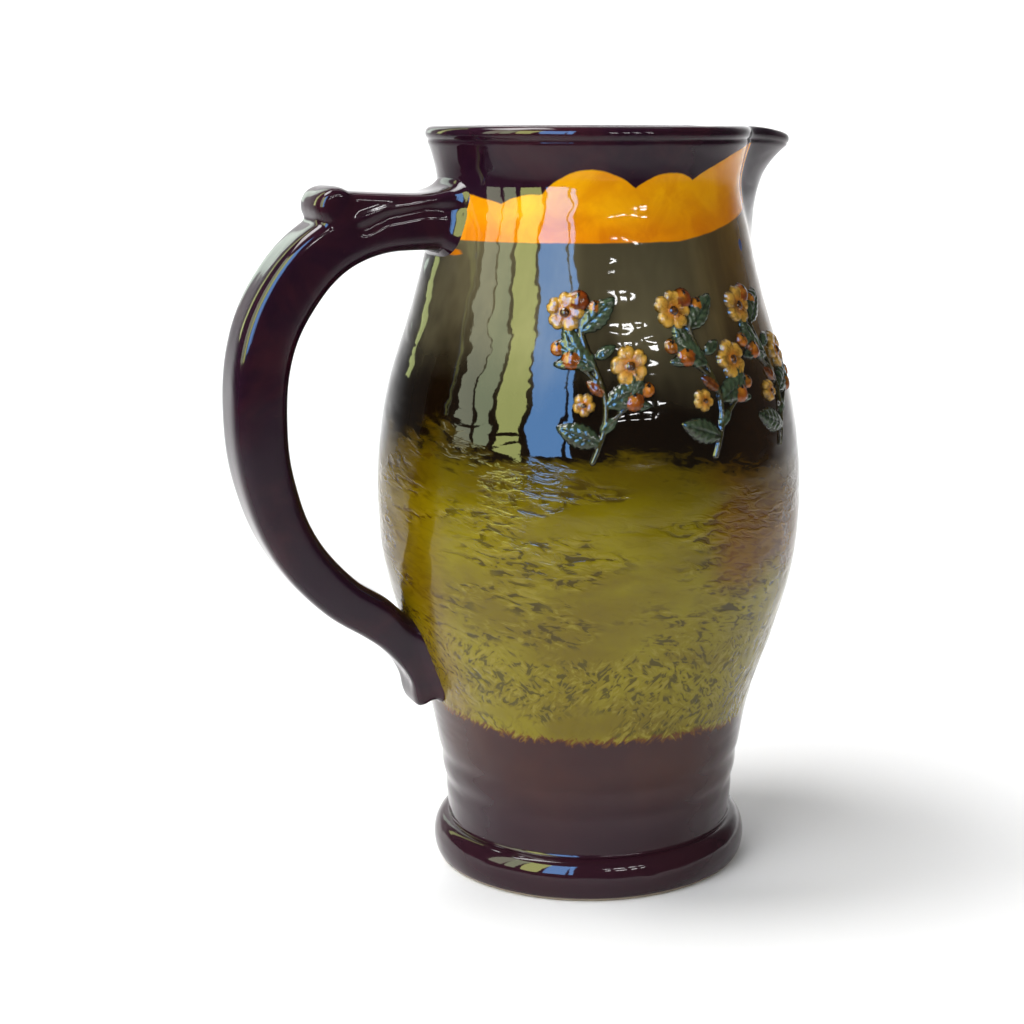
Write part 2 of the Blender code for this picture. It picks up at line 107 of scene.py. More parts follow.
TONGUE_STEPS = 40
TONGUE_AROUND = 48

# The valley between tongue and strap, as (x, height) from the knob to the wall
VALLEY_LINE = ((-0.0774, 0.2099), (-0.0700, 0.2133), (-0.0580, 0.2153), (-0.0490, 0.2150))
VALLEY_DEPTH = 0.0012
VALLEY_SPREAD = 0.0014

# Underside: a shallow turned recess inside the unglazed ring that it stands on
RECESS_RADIUS = 0.0390
RECESS_DEPTH = 0.0016
STANDING_RING_INNER = 0.0412
BARE_HEIGHT = 0.0009

# Sprays
SPRAY_AZIMUTHS = (248.0, 281.0, 308.0, 112.0, 79.0, 52.0)
SPRAY_LOW = 0.1440
SPRAY_HIGH = 0.1900
SPRAY_SPREAD = 0.25
LEAF_LENGTH = 0.0140
LEAF_WIDTH = 0.0078
LEAF_RISE = 0.0017
BERRY_RADIUS = 0.0031
BERRY_RISE = 0.0021
BERRY_TIP_RADIUS = 0.0006
BLOSSOM_RADIUS = 0.0060
BLOSSOM_RISE = 0.0016
HEART_RADIUS = 0.0013
STEM_WIDTH = 0.0024
STEM_RISE = 0.0010

# The patch of wall that a spray is laid out on, and how far its edge goes under the wall
RELIEF_PITCH = 0.00034
RELIEF_HALF_WIDTH = 0.0185
RELIEF_LOW = -0.004
RELIEF_TOP = 0.054
RELIEF_SUNK = 0.0006

# Fineness of the meshes. The body's columns crowd together towards the spout
COLUMNS = 384
INNER_COLUMNS = 96
SPOUT_DENSITY = 0.25
ROW_PITCH = 0.00118
INNER_ROWS = 46
HANDLE_VOXEL = 0.00062

# Glaze drawn up where the handle meets the wall
ROOT_FILLET = 0.0034

# The worked lower wall, swirled low down and dragged sideways above, and what throwing leaves
SWIRL_RISE = 0.00022
DRAG_RISE = 0.00015
SWIRLED_BELOW = 0.078
DRAGGED_ABOVE = 0.100
THROWN_RISE = 0.00010
THROWN_FINE_RISE = 0.00006

# Lines between the glazes as (azimuth, height) on the near side, mirrored on the far side
SCALLOPS = (
    # azimuth, height of the cusp, bulge of the arc that follows it
    (180.0, 0.2212, 0.0008), (215.0, 0.2173, 0.0012), (230.5, 0.2200, 0.0066),
    (263.5, 0.2216, 0.0034), (287.0, 0.2242, 0.0022), (331.0, 0.2345, 0.0), (360.0, 0.2360, 0.0),
)
BAND_LOW = (
    (180.0, 0.2062), (279.0, 0.2065), (293.0, 0.2086),
    (312.5, 0.2122), (330.0, 0.2152), (360.0, 0.2180),
)
MOSS_TOP = (
    (180.0, 0.1445), (230.0, 0.1440), (250.0, 0.1420),
    (289.0, 0.1415), (315.0, 0.1370), (360.0, 0.1360),
)
PLUM_TOP = (
    (180.0, 0.0572), (202.0, 0.0551), (215.0, 0.0539), (234.0, 0.0528),
    (289.0, 0.0525), (307.0, 0.0512), (360.0, 0.0510),
)

# Where the rim's glaze ends as a tongue down the spout's keel
SPOUT_GLAZE_LOW = 0.1880

# A blue spot beside the spout and an amber sliver under the handle, as (azimuth, height)
SPOT_AT = (312.0, 0.2040)
SLIVER_AT = (195.0, 0.2026)

# Glaze colours, a pair from its one end to its other where a glaze varies
PLUM = ((0.016, 0.004, 0.012), (0.032, 0.007, 0.013))
PLUM_FLECK = (0.060, 0.020, 0.016)
OLIVE = ((0.060, 0.050, 0.026), (0.104, 0.088, 0.046))
# Warmer brown towards the spout: partly the glaze's hue, partly painted light brightening that dimmer lit
# side
BROWN_WITH_PAINTED_LIGHT = ((0.122, 0.056, 0.003), (0.240, 0.126, 0.007))
# Near black, for the lower part of the olive wall just over the moss
OLIVE_DARK_LOW = ((0.006, 0.003, 0.001), (0.030, 0.011, 0.001))
SPOT_BLUE = (0.010, 0.030, 0.160)
SLIVER_AMBER = (0.500, 0.150, 0.003)
MOSS = ((0.154, 0.112, 0.001), (0.224, 0.180, 0.002))
MOSS_HOLLOW = ((0.044, 0.029, 0.001), (0.064, 0.049, 0.001))
MOSS_CREST = (0.262, 0.208, 0.018)
MOSS_EDGE = (0.058, 0.035, 0.001)
# The golden pair below is both the golden glaze and the painted reflection of the handle beside it
GOLDEN_AND_PAINTED_REFLECTION = ((0.122, 0.046, 0.0005), (0.190, 0.090, 0.0005))
BAND_BRIGHT = ((0.740, 0.275, 0.001), (0.880, 0.400, 0.002))
BAND_DEEP = ((0.640, 0.175, 0.001), (0.760, 0.260, 0.001))
# Warmer orange towards the spout: partly the band's hue, partly painted light brightening that dimmer lit
# side
BAND_WARM_WITH_PAINTED_LIGHT = (0.900, 0.300, 0.001)
BASE = ((0.036, 0.011, 0.012), (0.056, 0.017, 0.012))
BASE_LOW = (0.022, 0.006, 0.014)
SEAM_AMBER = (0.120, 0.040, 0.001)
CLAY = ((0.30, 0.24, 0.17), (0.42, 0.35, 0.26))

# Colours of the sprays
LEAF_GREEN = ((0.020, 0.038, 0.020), (0.085, 0.120, 0.058))
LEAF_RUST = ((0.120, 0.026, 0.003), (0.360, 0.105, 0.006))
BERRY = ((0.230, 0.040, 0.003), (0.430, 0.120, 0.003))
# A painted highlight laid on each berry, as a pale spot up and to the left of its middle
BERRY_PAINTED_HIGHLIGHT = (0.620, 0.260, 0.020)
BERRY_TIP = (0.020, 0.016, 0.010)
PETAL_CREAM = (0.560, 0.310, 0.040)
PETAL_BLUSH = (0.420, 0.100, 0.004)
HEART_BROWN = (0.090, 0.030, 0.003)
STEM_BROWN = (0.045, 0.040, 0.010)
SPRAY_POOL = (0.016, 0.010, 0.003)

# Lamps that show in the gloss: the panes of a window, and tubes. They face the jug's middle
JUG_MIDDLE = Vector((0.0, 0.0, 0.13))
PANE_HEIGHT = 0.78
PANE_ELEVATION = 26.0
PANE_DISTANCE = 1.1
PANES = (
    # name, azimuth from the camera to the left, width, power, colour
    ("pane_sky_thin", 10.5, 0.055, 2.2, (0.20, 0.48, 1.0)),
    ("pane_sky", 23.0, 0.34, 12.5, (0.20, 0.48, 1.0)),
    ("pane_leaves", 42.5, 0.27, 7.2, (0.92, 1.0, 0.34)),
    ("pane_trees", 58.5, 0.20, 3.2, (0.86, 1.0, 0.62)),
    ("pane_bark", 71.5, 0.22, 2.8, (0.92, 0.98, 0.70)),
    ("pane_left", 127.0, 0.13, 1.0, (0.80, 0.92, 0.36)),
    ("pane_far", 147.0, 0.18, 0.65, (0.78, 0.96, 0.80)),
)
TUBE_DISTANCE = 1.2
TUBE_SIZE = (0.095, 0.024)
TUBE_POWER = 0.30

# Paper sweep, measured from the jug
SWEEP_NEAR = 3.0
SWEEP_FAR = 1.2
SWEEP_BEND = 0.6
SWEEP_TOP = 2.6
SWEEP_HALF_WIDTH = 3.5

# Camera fitted to the photograph
VIEW_AZIMUTH = math.radians(-23.0)
VIEW_DISTANCE = 0.600
VIEW_HEIGHT = 0.2422
VIEW_PITCH = 0.2087
VIEW_LENS = 65.34
VIEW_SHIFT = -0.0747


def curve_through(points, x):
    """The smooth curve through (x, y) points, level at its two ends."""
    slopes = [0.0]
    for before, after in zip(points, points[2:]):
        slopes.append((after[1] - before[1]) / (after[0] - before[0]))
    slopes.append(0.0)
    i = 0
    while i < len(points) - 2 and x > points[i + 1][0]:
        i += 1
    (x0, y0), (x1, y1) = points[i], points[i + 1]
    span = x1 - x0
    t = min(max((x - x0) / span, 0.0), 1.0)
    rise = y0 * (1 + 2 * t) * (1 - t) ** 2 + y1 * (3 - 2 * t) * t**2
    return rise + span * (slopes[i] * t * (1 - t) ** 2 - slopes[i + 1] * (1 - t) * t**2)


def wall_radius(height):
    """The outer wall's radius over the foot ring, without the spout."""
    if height < BELLY_HEIGHT:
        share = (height - FOOT_RING_HEIGHT) / (BELLY_HEIGHT - FOOT_RING_HEIGHT)
        radius = WAIST_RADIUS + (BELLY_RADIUS - WAIST_RADIUS) * curve_through(LOWER_WALL, share)
    elif height < NECK_HEIGHT:
        share = (height - BELLY_HEIGHT) / (NECK_HEIGHT - BELLY_HEIGHT)
        radius = BELLY_RADIUS - (BELLY_RADIUS - NECK_RADIUS) * curve_through(UPPER_WALL, share)
    else:
        share = min((height - NECK_HEIGHT) / (LIP_HEIGHT - NECK_HEIGHT), 1.0)
        radius = NECK_RADIUS + (LIP_RADIUS - NECK_RADIUS) * share**1.5
    for step in STEP_HEIGHTS:
        radius -= STEP_DEPTH * math.exp(-(((height - step) / STEP_SPREAD) ** 2))
    return radius


WALL_TABLE_HEIGHTS = np.linspace(0.0, HEIGHT, 1201)
WALL_TABLE = np.array([wall_radius(h) for h in WALL_TABLE_HEIGHTS])


def wall_radii(heights):
    return np.interp(heights, WALL_TABLE_HEIGHTS, WALL_TABLE)


def spout_share(azimuth, height):
    """1 on the spout's keel, falling to 0 at the foot of its flanks."""
    rise = (min(height, LIP_HEIGHT) - SPOUT_ROOT_HEIGHT) / (LIP_HEIGHT - SPOUT_ROOT_HEIGHT)
    if rise <= 0.0:
        return np.zeros_like(azimuth)
    half_angle = SPOUT_ROOT_HALF_ANGLE + (SPOUT_HALF_ANGLE - SPOUT_ROOT_HALF_ANGLE) * rise**0.7
    turn = np.abs((azimuth + math.pi) % math.tau - math.pi) / half_angle
    rounding = SPOUT_TIP_ROUNDING
    turn = (np.hypot(turn, rounding) - rounding) / (math.hypot(1.0, rounding) - rounding)
    return np.clip(1.0 - turn, 0.0, 1.0) ** SPOUT_FLANK


def spout_pull(azimuth, height):
    """How far the spout stands out of the round wall."""
    level = min(height, LIP_HEIGHT)
    rise = max((level - SPOUT_ROOT_HEIGHT) / (LIP_HEIGHT - SPOUT_ROOT_HEIGHT), 0.0)
    root_radius = wall_radius(SPOUT_ROOT_HEIGHT)
    overhang = SPOUT_REACH - (RIM_RADIUS - LIP_RADIUS) - root_radius
    keel = root_radius + SPOUT_LEAN * rise + (overhang - SPOUT_LEAN) * rise**SPOUT_FLARE
    return max(keel - wall_radius(level), 0.0) * spout_share(azimuth, height)


def spout_droop(azimuth, height):
    """How far the rim hangs lower towards the spout's tip."""
    near_rim = min(max((height - (HEIGHT - DROOP_ZONE)) / DROOP_ZONE, 0.0), 1.0)
    return SPOUT_DROOP * near_rim * spout_share(azimuth, height) ** 1.5


def smooth_step(low, high, value):
    t = np.clip((value - low) / (high - low), 0.0, 1.0)
    return t * t * (3.0 - 2.0 * t)


def mirrored(azimuth):
    """Azimuths in degrees, brought to the near side's 180 to 360."""
    turn = np.degrees(azimuth) % 360.0
    return np.where(turn < 180.0, 360.0 - turn, turn)


def wave_noise(azimuth, height, across, up, seed):
    """Smooth values between -1 and 1 over the wall: a lattice that closes round the body."""
    table = np.random.default_rng(seed).uniform(-1.0, 1.0, (up + 3, across))
    u = (azimuth / math.tau % 1.0) * across
    v = np.clip(height / HEIGHT, 0.0, 1.0) * up
    iu = np.floor(u).astype(int)
    iv = np.floor(v).astype(int)
    fu = u - iu
    fv = v - iv
    fu = fu * fu * (3 - 2 * fu)
    fv = fv * fv * (3 - 2 * fv)
    a = table[iv, iu % across]
    b = table[iv, (iu + 1) % across]
    c = table[iv + 1, iu % across]
    d = table[iv + 1, (iu + 1) % across]
    return (a * (1 - fu) + b * fu) * (1 - fv) + (c * (1 - fu) + d * fu) * fv


def line_height(points, azimuth):
    places, heights = zip(*points)
    return np.interp(mirrored(azimuth), places, heights)


def scallop_height(azimuth):
    """The edge between the rim's glaze and the band: arcs of uneven width between cusps."""
    turn = mirrored(azimuth)
    height = np.zeros_like(turn)
    for (start, low, bulge), (end, after, _) in zip(SCALLOPS, SCALLOPS[1:]):
        share = np.clip((turn - start) / (end - start), 0.0, 1.0)
        arc = low + (after - low) * share + bulge * np.sin(math.pi * share) ** 0.72
        height = np.where((turn >= start) & (turn <= end), arc, height)
    return height


def moss_relief(azimuth, height):
    """Metres by which the worked lower wall stands proud or sinks: dragged above, swirled below."""
    inside = smooth_step(0.0, 0.003, height - line_height(PLUM_TOP, azimuth))
    inside = inside * (1.0 - smooth_step(-0.004, 0.003, height - line_height(MOSS_TOP, azimuth)))
    dragged = wave_noise(azimuth, height, 84, 130, 11) * 0.6 + wave_noise(azimuth, height, 140, 200, 12) * 0.4
    bend = 0.06 * wave_noise(azimuth, height, 50, 34, 13)
    rise = 0.004 * wave_noise(azimuth, height, 60, 40, 14)
    swirled = wave_noise(azimuth + bend, height + rise, 160, 92, 15)
    swirled = swirled * 0.65 + wave_noise(azimuth - bend, height - rise, 230, 130, 16) * 0.35
    low = 1.0 - smooth_step(SWIRLED_BELOW, DRAGGED_ABOVE, height)
    patchy = smooth_step(-0.35, 0.35, wave_noise(azimuth, height, 11, 12, 17) + 0.35 * low)
    return inside * (0.15 + 0.85 * patchy) * (SWIRL_RISE * low * swirled + DRAG_RISE * (1.0 - low) * dragged)


def hand_thrown(azimuth, height):
    """The faint unevenness of a thrown wall."""
    lift = THROWN_RISE * wave_noise(azimuth, height, 5, 7, 21)
    lift = lift + THROWN_FINE_RISE * wave_noise(azimuth, height, 9, 18, 22)
    return lift * smooth_step(0.016, 0.040, height) * (1.0 - smooth_step(0.205, 0.225, height))


def body_rows():
    """The profile from the middle of the underside up the outside, over the rim and down inside."""
    rows = [(0.0, RECESS_DEPTH), (0.020, RECESS_DEPTH)]
    rows += [(RECESS_RADIUS - 0.0015, RECESS_DEPTH), (RECESS_RADIUS, RECESS_DEPTH * 0.86)]
    rows += [(RECESS_RADIUS + 0.0009, RECESS_DEPTH * 0.30), (STANDING_RING_INNER, 0.0)]
    rows += [(0.0440, 0.0), (0.0475, 0.0)]
    edge = FOOT_RADIUS - FOOT_FLAT_RADIUS
    for i in range(10):
        turn = math.radians(10.0 * i)
        rows.append((FOOT_FLAT_RADIUS + edge * math.sin(turn), FOOT_WIDEST_HEIGHT * (1 - math.cos(turn))))
    shoulder = FOOT_RING_HEIGHT - FOOT_WIDEST_HEIGHT
    for i in range(1, 13):
        turn = math.radians(7.5 * i)
        radius = WAIST_RADIUS + (FOOT_RADIUS - WAIST_RADIUS) * math.cos(turn)
        rows.append((radius, FOOT_WIDEST_HEIGHT + shoulder * math.sin(turn)))
    outer_from = len(rows)
    height = FOOT_RING_HEIGHT
    while height < LIP_HEIGHT - ROW_PITCH:
        height += ROW_PITCH
        rows.append((wall_radius(height), height))
    middle = RIM_RADIUS - RIM_ROLL
    for degrees in range(-52, 181, 12):
        turn = math.radians(degrees)
        radius = middle + RIM_ROLL * math.cos(turn)
        rows.append((radius, HEIGHT - RIM_ROLL + RIM_ROLL * math.sin(turn)))
    inner_from = len(rows)
    corner_top = FLOOR + FLOOR_CORNER
    for i in range(INNER_ROWS + 1):
        height = LIP_HEIGHT + (corner_top - LIP_HEIGHT) * (i / INNER_ROWS) ** 1.25
        rows.append((wall_radius(height) - WALL, height))
    corner_radius = rows[-1][0] - FLOOR_CORNER
    for i in range(1, 7):
        turn = math.radians(15 * i)
        radius = corner_radius + FLOOR_CORNER * math.cos(turn)
        rows.append((radius, corner_top - FLOOR_CORNER * math.sin(turn)))
    rows += [(corner_radius * share, FLOOR) for share in (0.75, 0.5, 0.25, 0.0)]
    return rows, outer_from, inner_from


def golden_and_painted_reflection_zone(near, level, wobble, azimuth):
    """The golden glaze at the right of the near side, and beside the handle a weaker golden patch that is a
    painted reflection of the handle.
    """
    right = smooth_step(275.0, 290.0, near + 8.0 * wave_noise(azimuth, level, 12, 40, 33))
    drag = 0.0045 * wave_noise(azimuth, level, 26, 22, 34)
    right = right * smooth_step(0.097, 0.106, level + wobble + drag)
    right = right * (1.0 - smooth_step(0.140, 0.165, level))
    # Beside the handle: a painted reflection of the handle, in the golden colour at 0.45 strength
    left = smooth_step(212.0, 198.0, near) * (1.0 - smooth_step(0.150, 0.175, level))
    return np.maximum(right, 0.45 * left * smooth_step(0.050, 0.060, level))


def glaze_fields(azimuth, height, inner, bare):
    """What the glazes need to know along one row of the body.

    scallop, band, moss and plum are millimetres over the lines between glazes. amber, warm, inside
    and bare are shares from 0 to 1. amber is the golden glaze and, beside the handle, a painted reflection of
    the handle; warm is the glaze's warmer hue towards the spout, which also carries painted brightening
    there.
    spot and sliver count outwards from the middle of their spots, with the edge at 1. round is metres round
    the belly from the handle.
    """
    level = np.full(len(azimuth), height)
    near = mirrored(azimuth)
    wobble = 0.0012 * wave_noise(azimuth, level, 40, 60, 31) + 0.0016 * wave_noise(azimuth, level, 14, 30, 32)
    narrowing = 1.0 - smooth_step(SPOUT_GLAZE_LOW, BAND_LOW[-1][1], height)
    over_spout = (spout_share(azimuth, height) - 0.035 - 0.965 * narrowing**1.6) * 60.0
    return {
        "scallop": np.maximum((level - scallop_height(azimuth)) * 1000, over_spout),
        "band": (level - line_height(BAND_LOW, azimuth)) * 1000,
        "moss": (level + wobble * 1.6 - line_height(MOSS_TOP, azimuth)) * 1000,
        "plum": (level + wobble * 0.3 - line_height(PLUM_TOP, azimuth)) * 1000,
        # Golden glaze, and beside the handle a painted reflection of the handle
        "golden_and_painted_reflection": golden_and_painted_reflection_zone(near, level, wobble, azimuth),
        # warm: warmer glaze towards the spout, which also carries painted light brightening that side
        "warm": smooth_step(272.0, 330.0, near),
        "inside": np.full(len(azimuth), float(inner)),
        "bare": np.full(len(azimuth), float(bare)),
        "spot": np.hypot((near - SPOT_AT[0]) * 0.70, (level - SPOT_AT[1]) * 560.0),
        "sliver": np.hypot((near - SLIVER_AT[0]) * 0.20, (level - SLIVER_AT[1]) * 1100.0),
        "round": np.radians(near - 180.0) * BELLY_RADIUS,
    }


def make_body():
    """One closed shell, with the fields that its glazes need on its points."""
    rows, outer_from, inner_from = body_rows()
    places = []
    fields = {}
    starts = []
    counts = []
    for index, (radius, height) in enumerate(rows):
        inner = index >= inner_from
        bare = radius >= RECESS_RADIUS and height < BARE_HEIGHT and not inner
        count = 1 if radius == 0.0 else (INNER_COLUMNS if inner else COLUMNS)
        turn = math.tau * np.arange(count) / count
        azimuth = turn - SPOUT_DENSITY * np.sin(turn)
        reach = radius + (spout_pull(azimuth, height) if radius > 0.0 else 0.0)
        if outer_from <= index < inner_from:
            reach = reach + hand_thrown(azimuth, height) + moss_relief(azimuth, np.full_like(azimuth, height))
        z = np.full(count, height) - (spout_droop(azimuth, height) if radius > 0.0 else 0.0)
        starts.append(len(places))
        counts.append(count)
        places.extend(np.stack([reach * np.cos(azimuth), reach * np.sin(azimuth), z], 1))
        for name, values in glaze_fields(azimuth, height, inner, bare).items():
            fields.setdefault(name, []).extend(values)
    faces = []
    for index in range(len(rows) - 1):
        a, b = starts[index], starts[index + 1]
        n, m = counts[index], counts[index + 1]
        if n == 1:
            faces.extend((a, b + (i + 1) % m, b + i) for i in range(m))
        elif m == 1:
            faces.extend((a + i, a + (i + 1) % n, b) for i in range(n))
        elif n == m:
            faces.extend((a + i, a + (i + 1) % n, b + (i + 1) % n, b + i) for i in range(n))
        else:
            share = n // m
            for i in range(m):
                fan = tuple(a + (share * i + k) % n for k in range(share + 1))
                faces.append((*fan, b + (i + 1) % m, b + i))
    obj = add_mesh("jug_body", places, faces)
    for name, values in fields.items():
        add_field(obj, name, values)
    return obj


def add_mesh(name, places, faces):
    mesh = bpy.data.meshes.new(name)
    mesh.from_pydata([tuple(p) for p in places], [], faces)
    mesh.validate()
    mesh.shade_smooth()
    obj = bpy.data.objects.new(name, mesh)
    bpy.context.scene.collection.objects.link(obj)
    return obj


def add_field(obj, name, values):
    layer = obj.data.attributes.new(name, "FLOAT", "POINT")
    layer.data.foreach_set("value", np.asarray(values, dtype=np.float32))


def smooth_line(knots, count):
    """Evenly numbered points of the smooth line through the knots."""
    padded = [2 * knots[0] - knots[1], *knots, 2 * knots[-1] - knots[-2]]
    line = []
    spans = len(knots) - 1
    for i in range(count + 1):
        place = spans * i / count
        span = min(int(place), spans - 1)
        t = place - span
        a, b, c, d = padded[span : span + 4]
        point = 2 * b + (c - a) * t + (2 * a - 5 * b + 4 * c - d) * t**2
        point += (3 * b - a - 3 * c + d) * t**3
        line.append(point / 2)
    return line


def handle_line(count):
    """The handle's middle line in the XZ plane, each point as (x, z, thickness, width)."""
    top_wall = wall_radius(HANDLE_TOP_HEIGHT)
    low_wall = wall_radius(HANDLE_LOW_HEIGHT)
    middle_reach = HANDLE_REACH - HANDLE_THICKNESS / 2
    knots = []
    for out, up, thick, wide in HANDLE_LINE:
        wall = low_wall + (top_wall - low_wall) * up
        height = HANDLE_LOW_HEIGHT + (HANDLE_TOP_HEIGHT - HANDLE_LOW_HEIGHT) * up
        x = -(wall + (middle_reach - wall) * out)
        knots.append(Vector((x, height, HANDLE_THICKNESS * thick, HANDLE_WIDTH * wide)))
    for up, proud, thick, wide in TAIL_LINE:
        height = TAIL_LOW_HEIGHT + (TAIL_TOP_HEIGHT - TAIL_LOW_HEIGHT) * up
        x = -(wall_radius(height) + (TAIL_PROUD * proud - STRAP_DEPTH) / 2)
        knots.append(Vector((x, height, (TAIL_PROUD + STRAP_DEPTH) * thick, TAIL_WIDTH * wide)))
    return smooth_line(knots, count)


def tail_scoop(height):
    share = (height - TAIL_LOW_HEIGHT) / (TAIL_TOP_HEIGHT - TAIL_LOW_HEIGHT)
    return TAIL_SCOOP * math.sin(math.pi * share) ** 2 if 0.0 < share < 1.0 else 0.0


def soft_square(value):
    return math.copysign(abs(value) ** (2 / HANDLE_SQUARENESS), value)


def join_rings(form, rings):
    """Faces between each ring of points and the next, and over both ends."""
    around = len(rings[0])
    for near, far in zip(rings, rings[1:]):
        for k in range(around):
            after = (k + 1) % around
            form.faces.new((near[k], near[after], far[after], far[k]))
    form.faces.new(rings[0])
    form.faces.new(rings[-1])


def sweep(form, line, depth, around):
    """A soft-cornered strap along a line of (x, z, thickness, width), sunk that deep in the wall."""
    rings = []
    last = len(line) - 1
    for i, (x, z, thickness, width) in enumerate(line):
        run = line[min(i + 1, last)] - line[max(i - 1, 0)]
        outward = Vector((run.y, -run.x)).normalized()
        flare = 0.0
        if z > BELLY_HEIGHT:
            flare = ROOT_FLARE * math.exp(-(((x - line[0].x) / ROOT_FLARE_LENGTH) ** 2))
        scoop = tail_scoop(z)
        ring = []
        for k in range(around):
            turn = math.tau * (k + 0.5) / around
            across = soft_square(math.sin(turn))
            out = soft_square(math.cos(turn)) * (thickness + flare) / 2
            if out > 0:
                out -= scoop * (1 - across**2)
            point = Vector((x + outward.x * out, across * (width + flare) / 2, z + outward.y * out))
            least = wall_radius(point.z) - depth
            radius = math.hypot(point.x, point.y)
            if radius < least:
                point.x *= least / radius
                point.y *= least / radius
            ring.append(form.verts.new(point))
        rings.append(ring)
    join_rings(form, rings)


def add_knob(form):
    """A short roll across the end of the tongue, rounded at both sides."""
    rings = []
    for i in range(25):
        turn = math.radians(-84 + 7 * i)
        y = KNOB_WIDTH / 2 * math.copysign(abs(math.sin(turn)) ** 0.6, turn)
        radius = (KNOB_RADIUS + KNOB_GLAZE) * math.cos(turn) ** 0.25
        ring = []
        for k in range(KNOB_AROUND):
            angle = math.tau * k / KNOB_AROUND
            x = -KNOB_DISTANCE + radius * math.cos(angle)
            ring.append(form.verts.new((x, y, KNOB_HEIGHT + radius * math.sin(angle))))
        rings.append(ring)
    join_rings(form, rings)


def tongue_line():
    """The tongue's middle line from inside the wall to the knob, as handle_line gives the strap's."""
    root = -(wall_radius(HANDLE_TOP_HEIGHT) - WALL * 0.6)
    root_height = HANDLE_TOP_HEIGHT + HANDLE_THICKNESS * HANDLE_LINE[0][2] / 2 + TONGUE_LIFT
    root_height -= TONGUE_THICKNESS / 2
    line = []
    for i in range(TONGUE_STEPS + 1):
        share = i / TONGUE_STEPS
        x = root + (-KNOB_DISTANCE - root) * share
        height = root_height + (KNOB_HEIGHT - root_height) * share**2
        line.append(Vector((x, height, TONGUE_THICKNESS * (1 + 0.25 * share**2), TONGUE_WIDTH)))
    return line


def make_handle():
    """Strap, tail, tongue and knob grown into one form, with glaze drawn up round its roots."""
    form = bmesh.new()
    sweep(form, handle_line(STRAP_STEPS), STRAP_DEPTH, STRAP_AROUND)
    sweep(form, tongue_line(), TONGUE_DEPTH, TONGUE_AROUND)
    add_knob(form)
    bmesh.ops.recalc_face_normals(form, faces=form.faces[:])
    mesh = bpy.data.meshes.new("jug_handle")
    form.to_mesh(mesh)
    form.free()
    obj = bpy.data.objects.new("jug_handle", mesh)
    bpy.context.scene.collection.objects.link(obj)
    remesh = obj.modifiers.new("grow_together", "REMESH")
    remesh.mode = "VOXEL"
    remesh.voxel_size = HANDLE_VOXEL
    bake_modifiers(obj)
    places = get_places(obj)
    places = press_valley(places)
    places = eased(obj, places, np.full(len(places), 0.5), 6)
    set_places(obj, places)
    gap = np.hypot(places[:, 0], places[:, 1]) - wall_radii(places[:, 2])
    places = draw_up_roots(obj, places, gap)
    places = eased(obj, places, 0.5 * smooth_step(0.0060, 0.0030, gap), 12)
    set_places(obj, places)
    obj.data.shade_smooth()
    return obj


def bake_modifiers(obj):
    mesh = bpy.data.meshes.new_from_object(obj.evaluated_get(bpy.context.evaluated_depsgraph_get()))
    obj.modifiers.clear()
    obj.data = mesh


def get_places(obj):
    places = np.empty(len(obj.data.vertices) * 3)
    obj.data.vertices.foreach_get("co", places)
    return places.reshape(-1, 3)


def set_places(obj, places):
    obj.data.vertices.foreach_set("co", places.ravel())
    obj.data.update()


def eased(obj, places, weight, rounds):
    """Each point moves towards the mean of its neighbours, by its own weight."""
    edges = np.empty(len(obj.data.edges) * 2, dtype=np.int64)
    obj.data.edges.foreach_get("vertices", edges)
    a, b = edges.reshape(-1, 2).T
    count = len(places)
    neighbours = np.bincount(a, minlength=count) + np.bincount(b, minlength=count)
    for _ in range(rounds):
        total = np.stack([
            np.bincount(a, places[b, k], count) + np.bincount(b, places[a, k], count) for k in range(3)
        ], 1)
        places = places + (total / neighbours[:, None] - places) * weight[:, None]
    return places


def press_valley(places):
    """The soft valley on both sides, between the tongue and the strap under it."""
    x, y, z = places.T
    line = np.interp(x, *zip(*VALLEY_LINE))
    depth = VALLEY_DEPTH * np.exp(-(((z - line) / VALLEY_SPREAD) ** 2))
    depth = depth * smooth_step(-0.0815, -0.0765, x) * smooth_step(0.004, 0.009, np.abs(y))
    pressed = places.copy()
    pressed[:, 1] -= np.sign(y) * depth
    return pressed


def draw_up_roots(obj, places, gap):
    """Near the wall the form spreads along it in a small cove, as glaze gathers there."""
    normals = np.empty(len(places) * 3)
    obj.data.vertex_normals.foreach_get("vector", normals)
    normals = normals.reshape(-1, 3)
    radial = places * (1.0, 1.0, 0.0)
    radial /= np.linalg.norm(radial, axis=1)[:, None]
    along = normals - radial * np.sum(normals * radial, 1)[:, None]
    size = np.linalg.norm(along, axis=1)
    along /= np.maximum(size, 1e-6)[:, None]
    reach = np.clip(ROOT_FILLET - np.maximum(gap, 0.0), 0.0, None)
    spread = ROOT_FILLET - np.sqrt(np.maximum(ROOT_FILLET**2 - reach**2, 0.0))
    return places + along * (spread * smooth_step(0.25, 0.7, size))[:, None]


def ring_sum(padded):
    """The sum of each cell's four neighbours, in a grid padded by one cell all round."""
    return padded[:-2, 1:-1] + padded[2:, 1:-1] + padded[1:-1, :-2] + padded[1:-1, 2:]


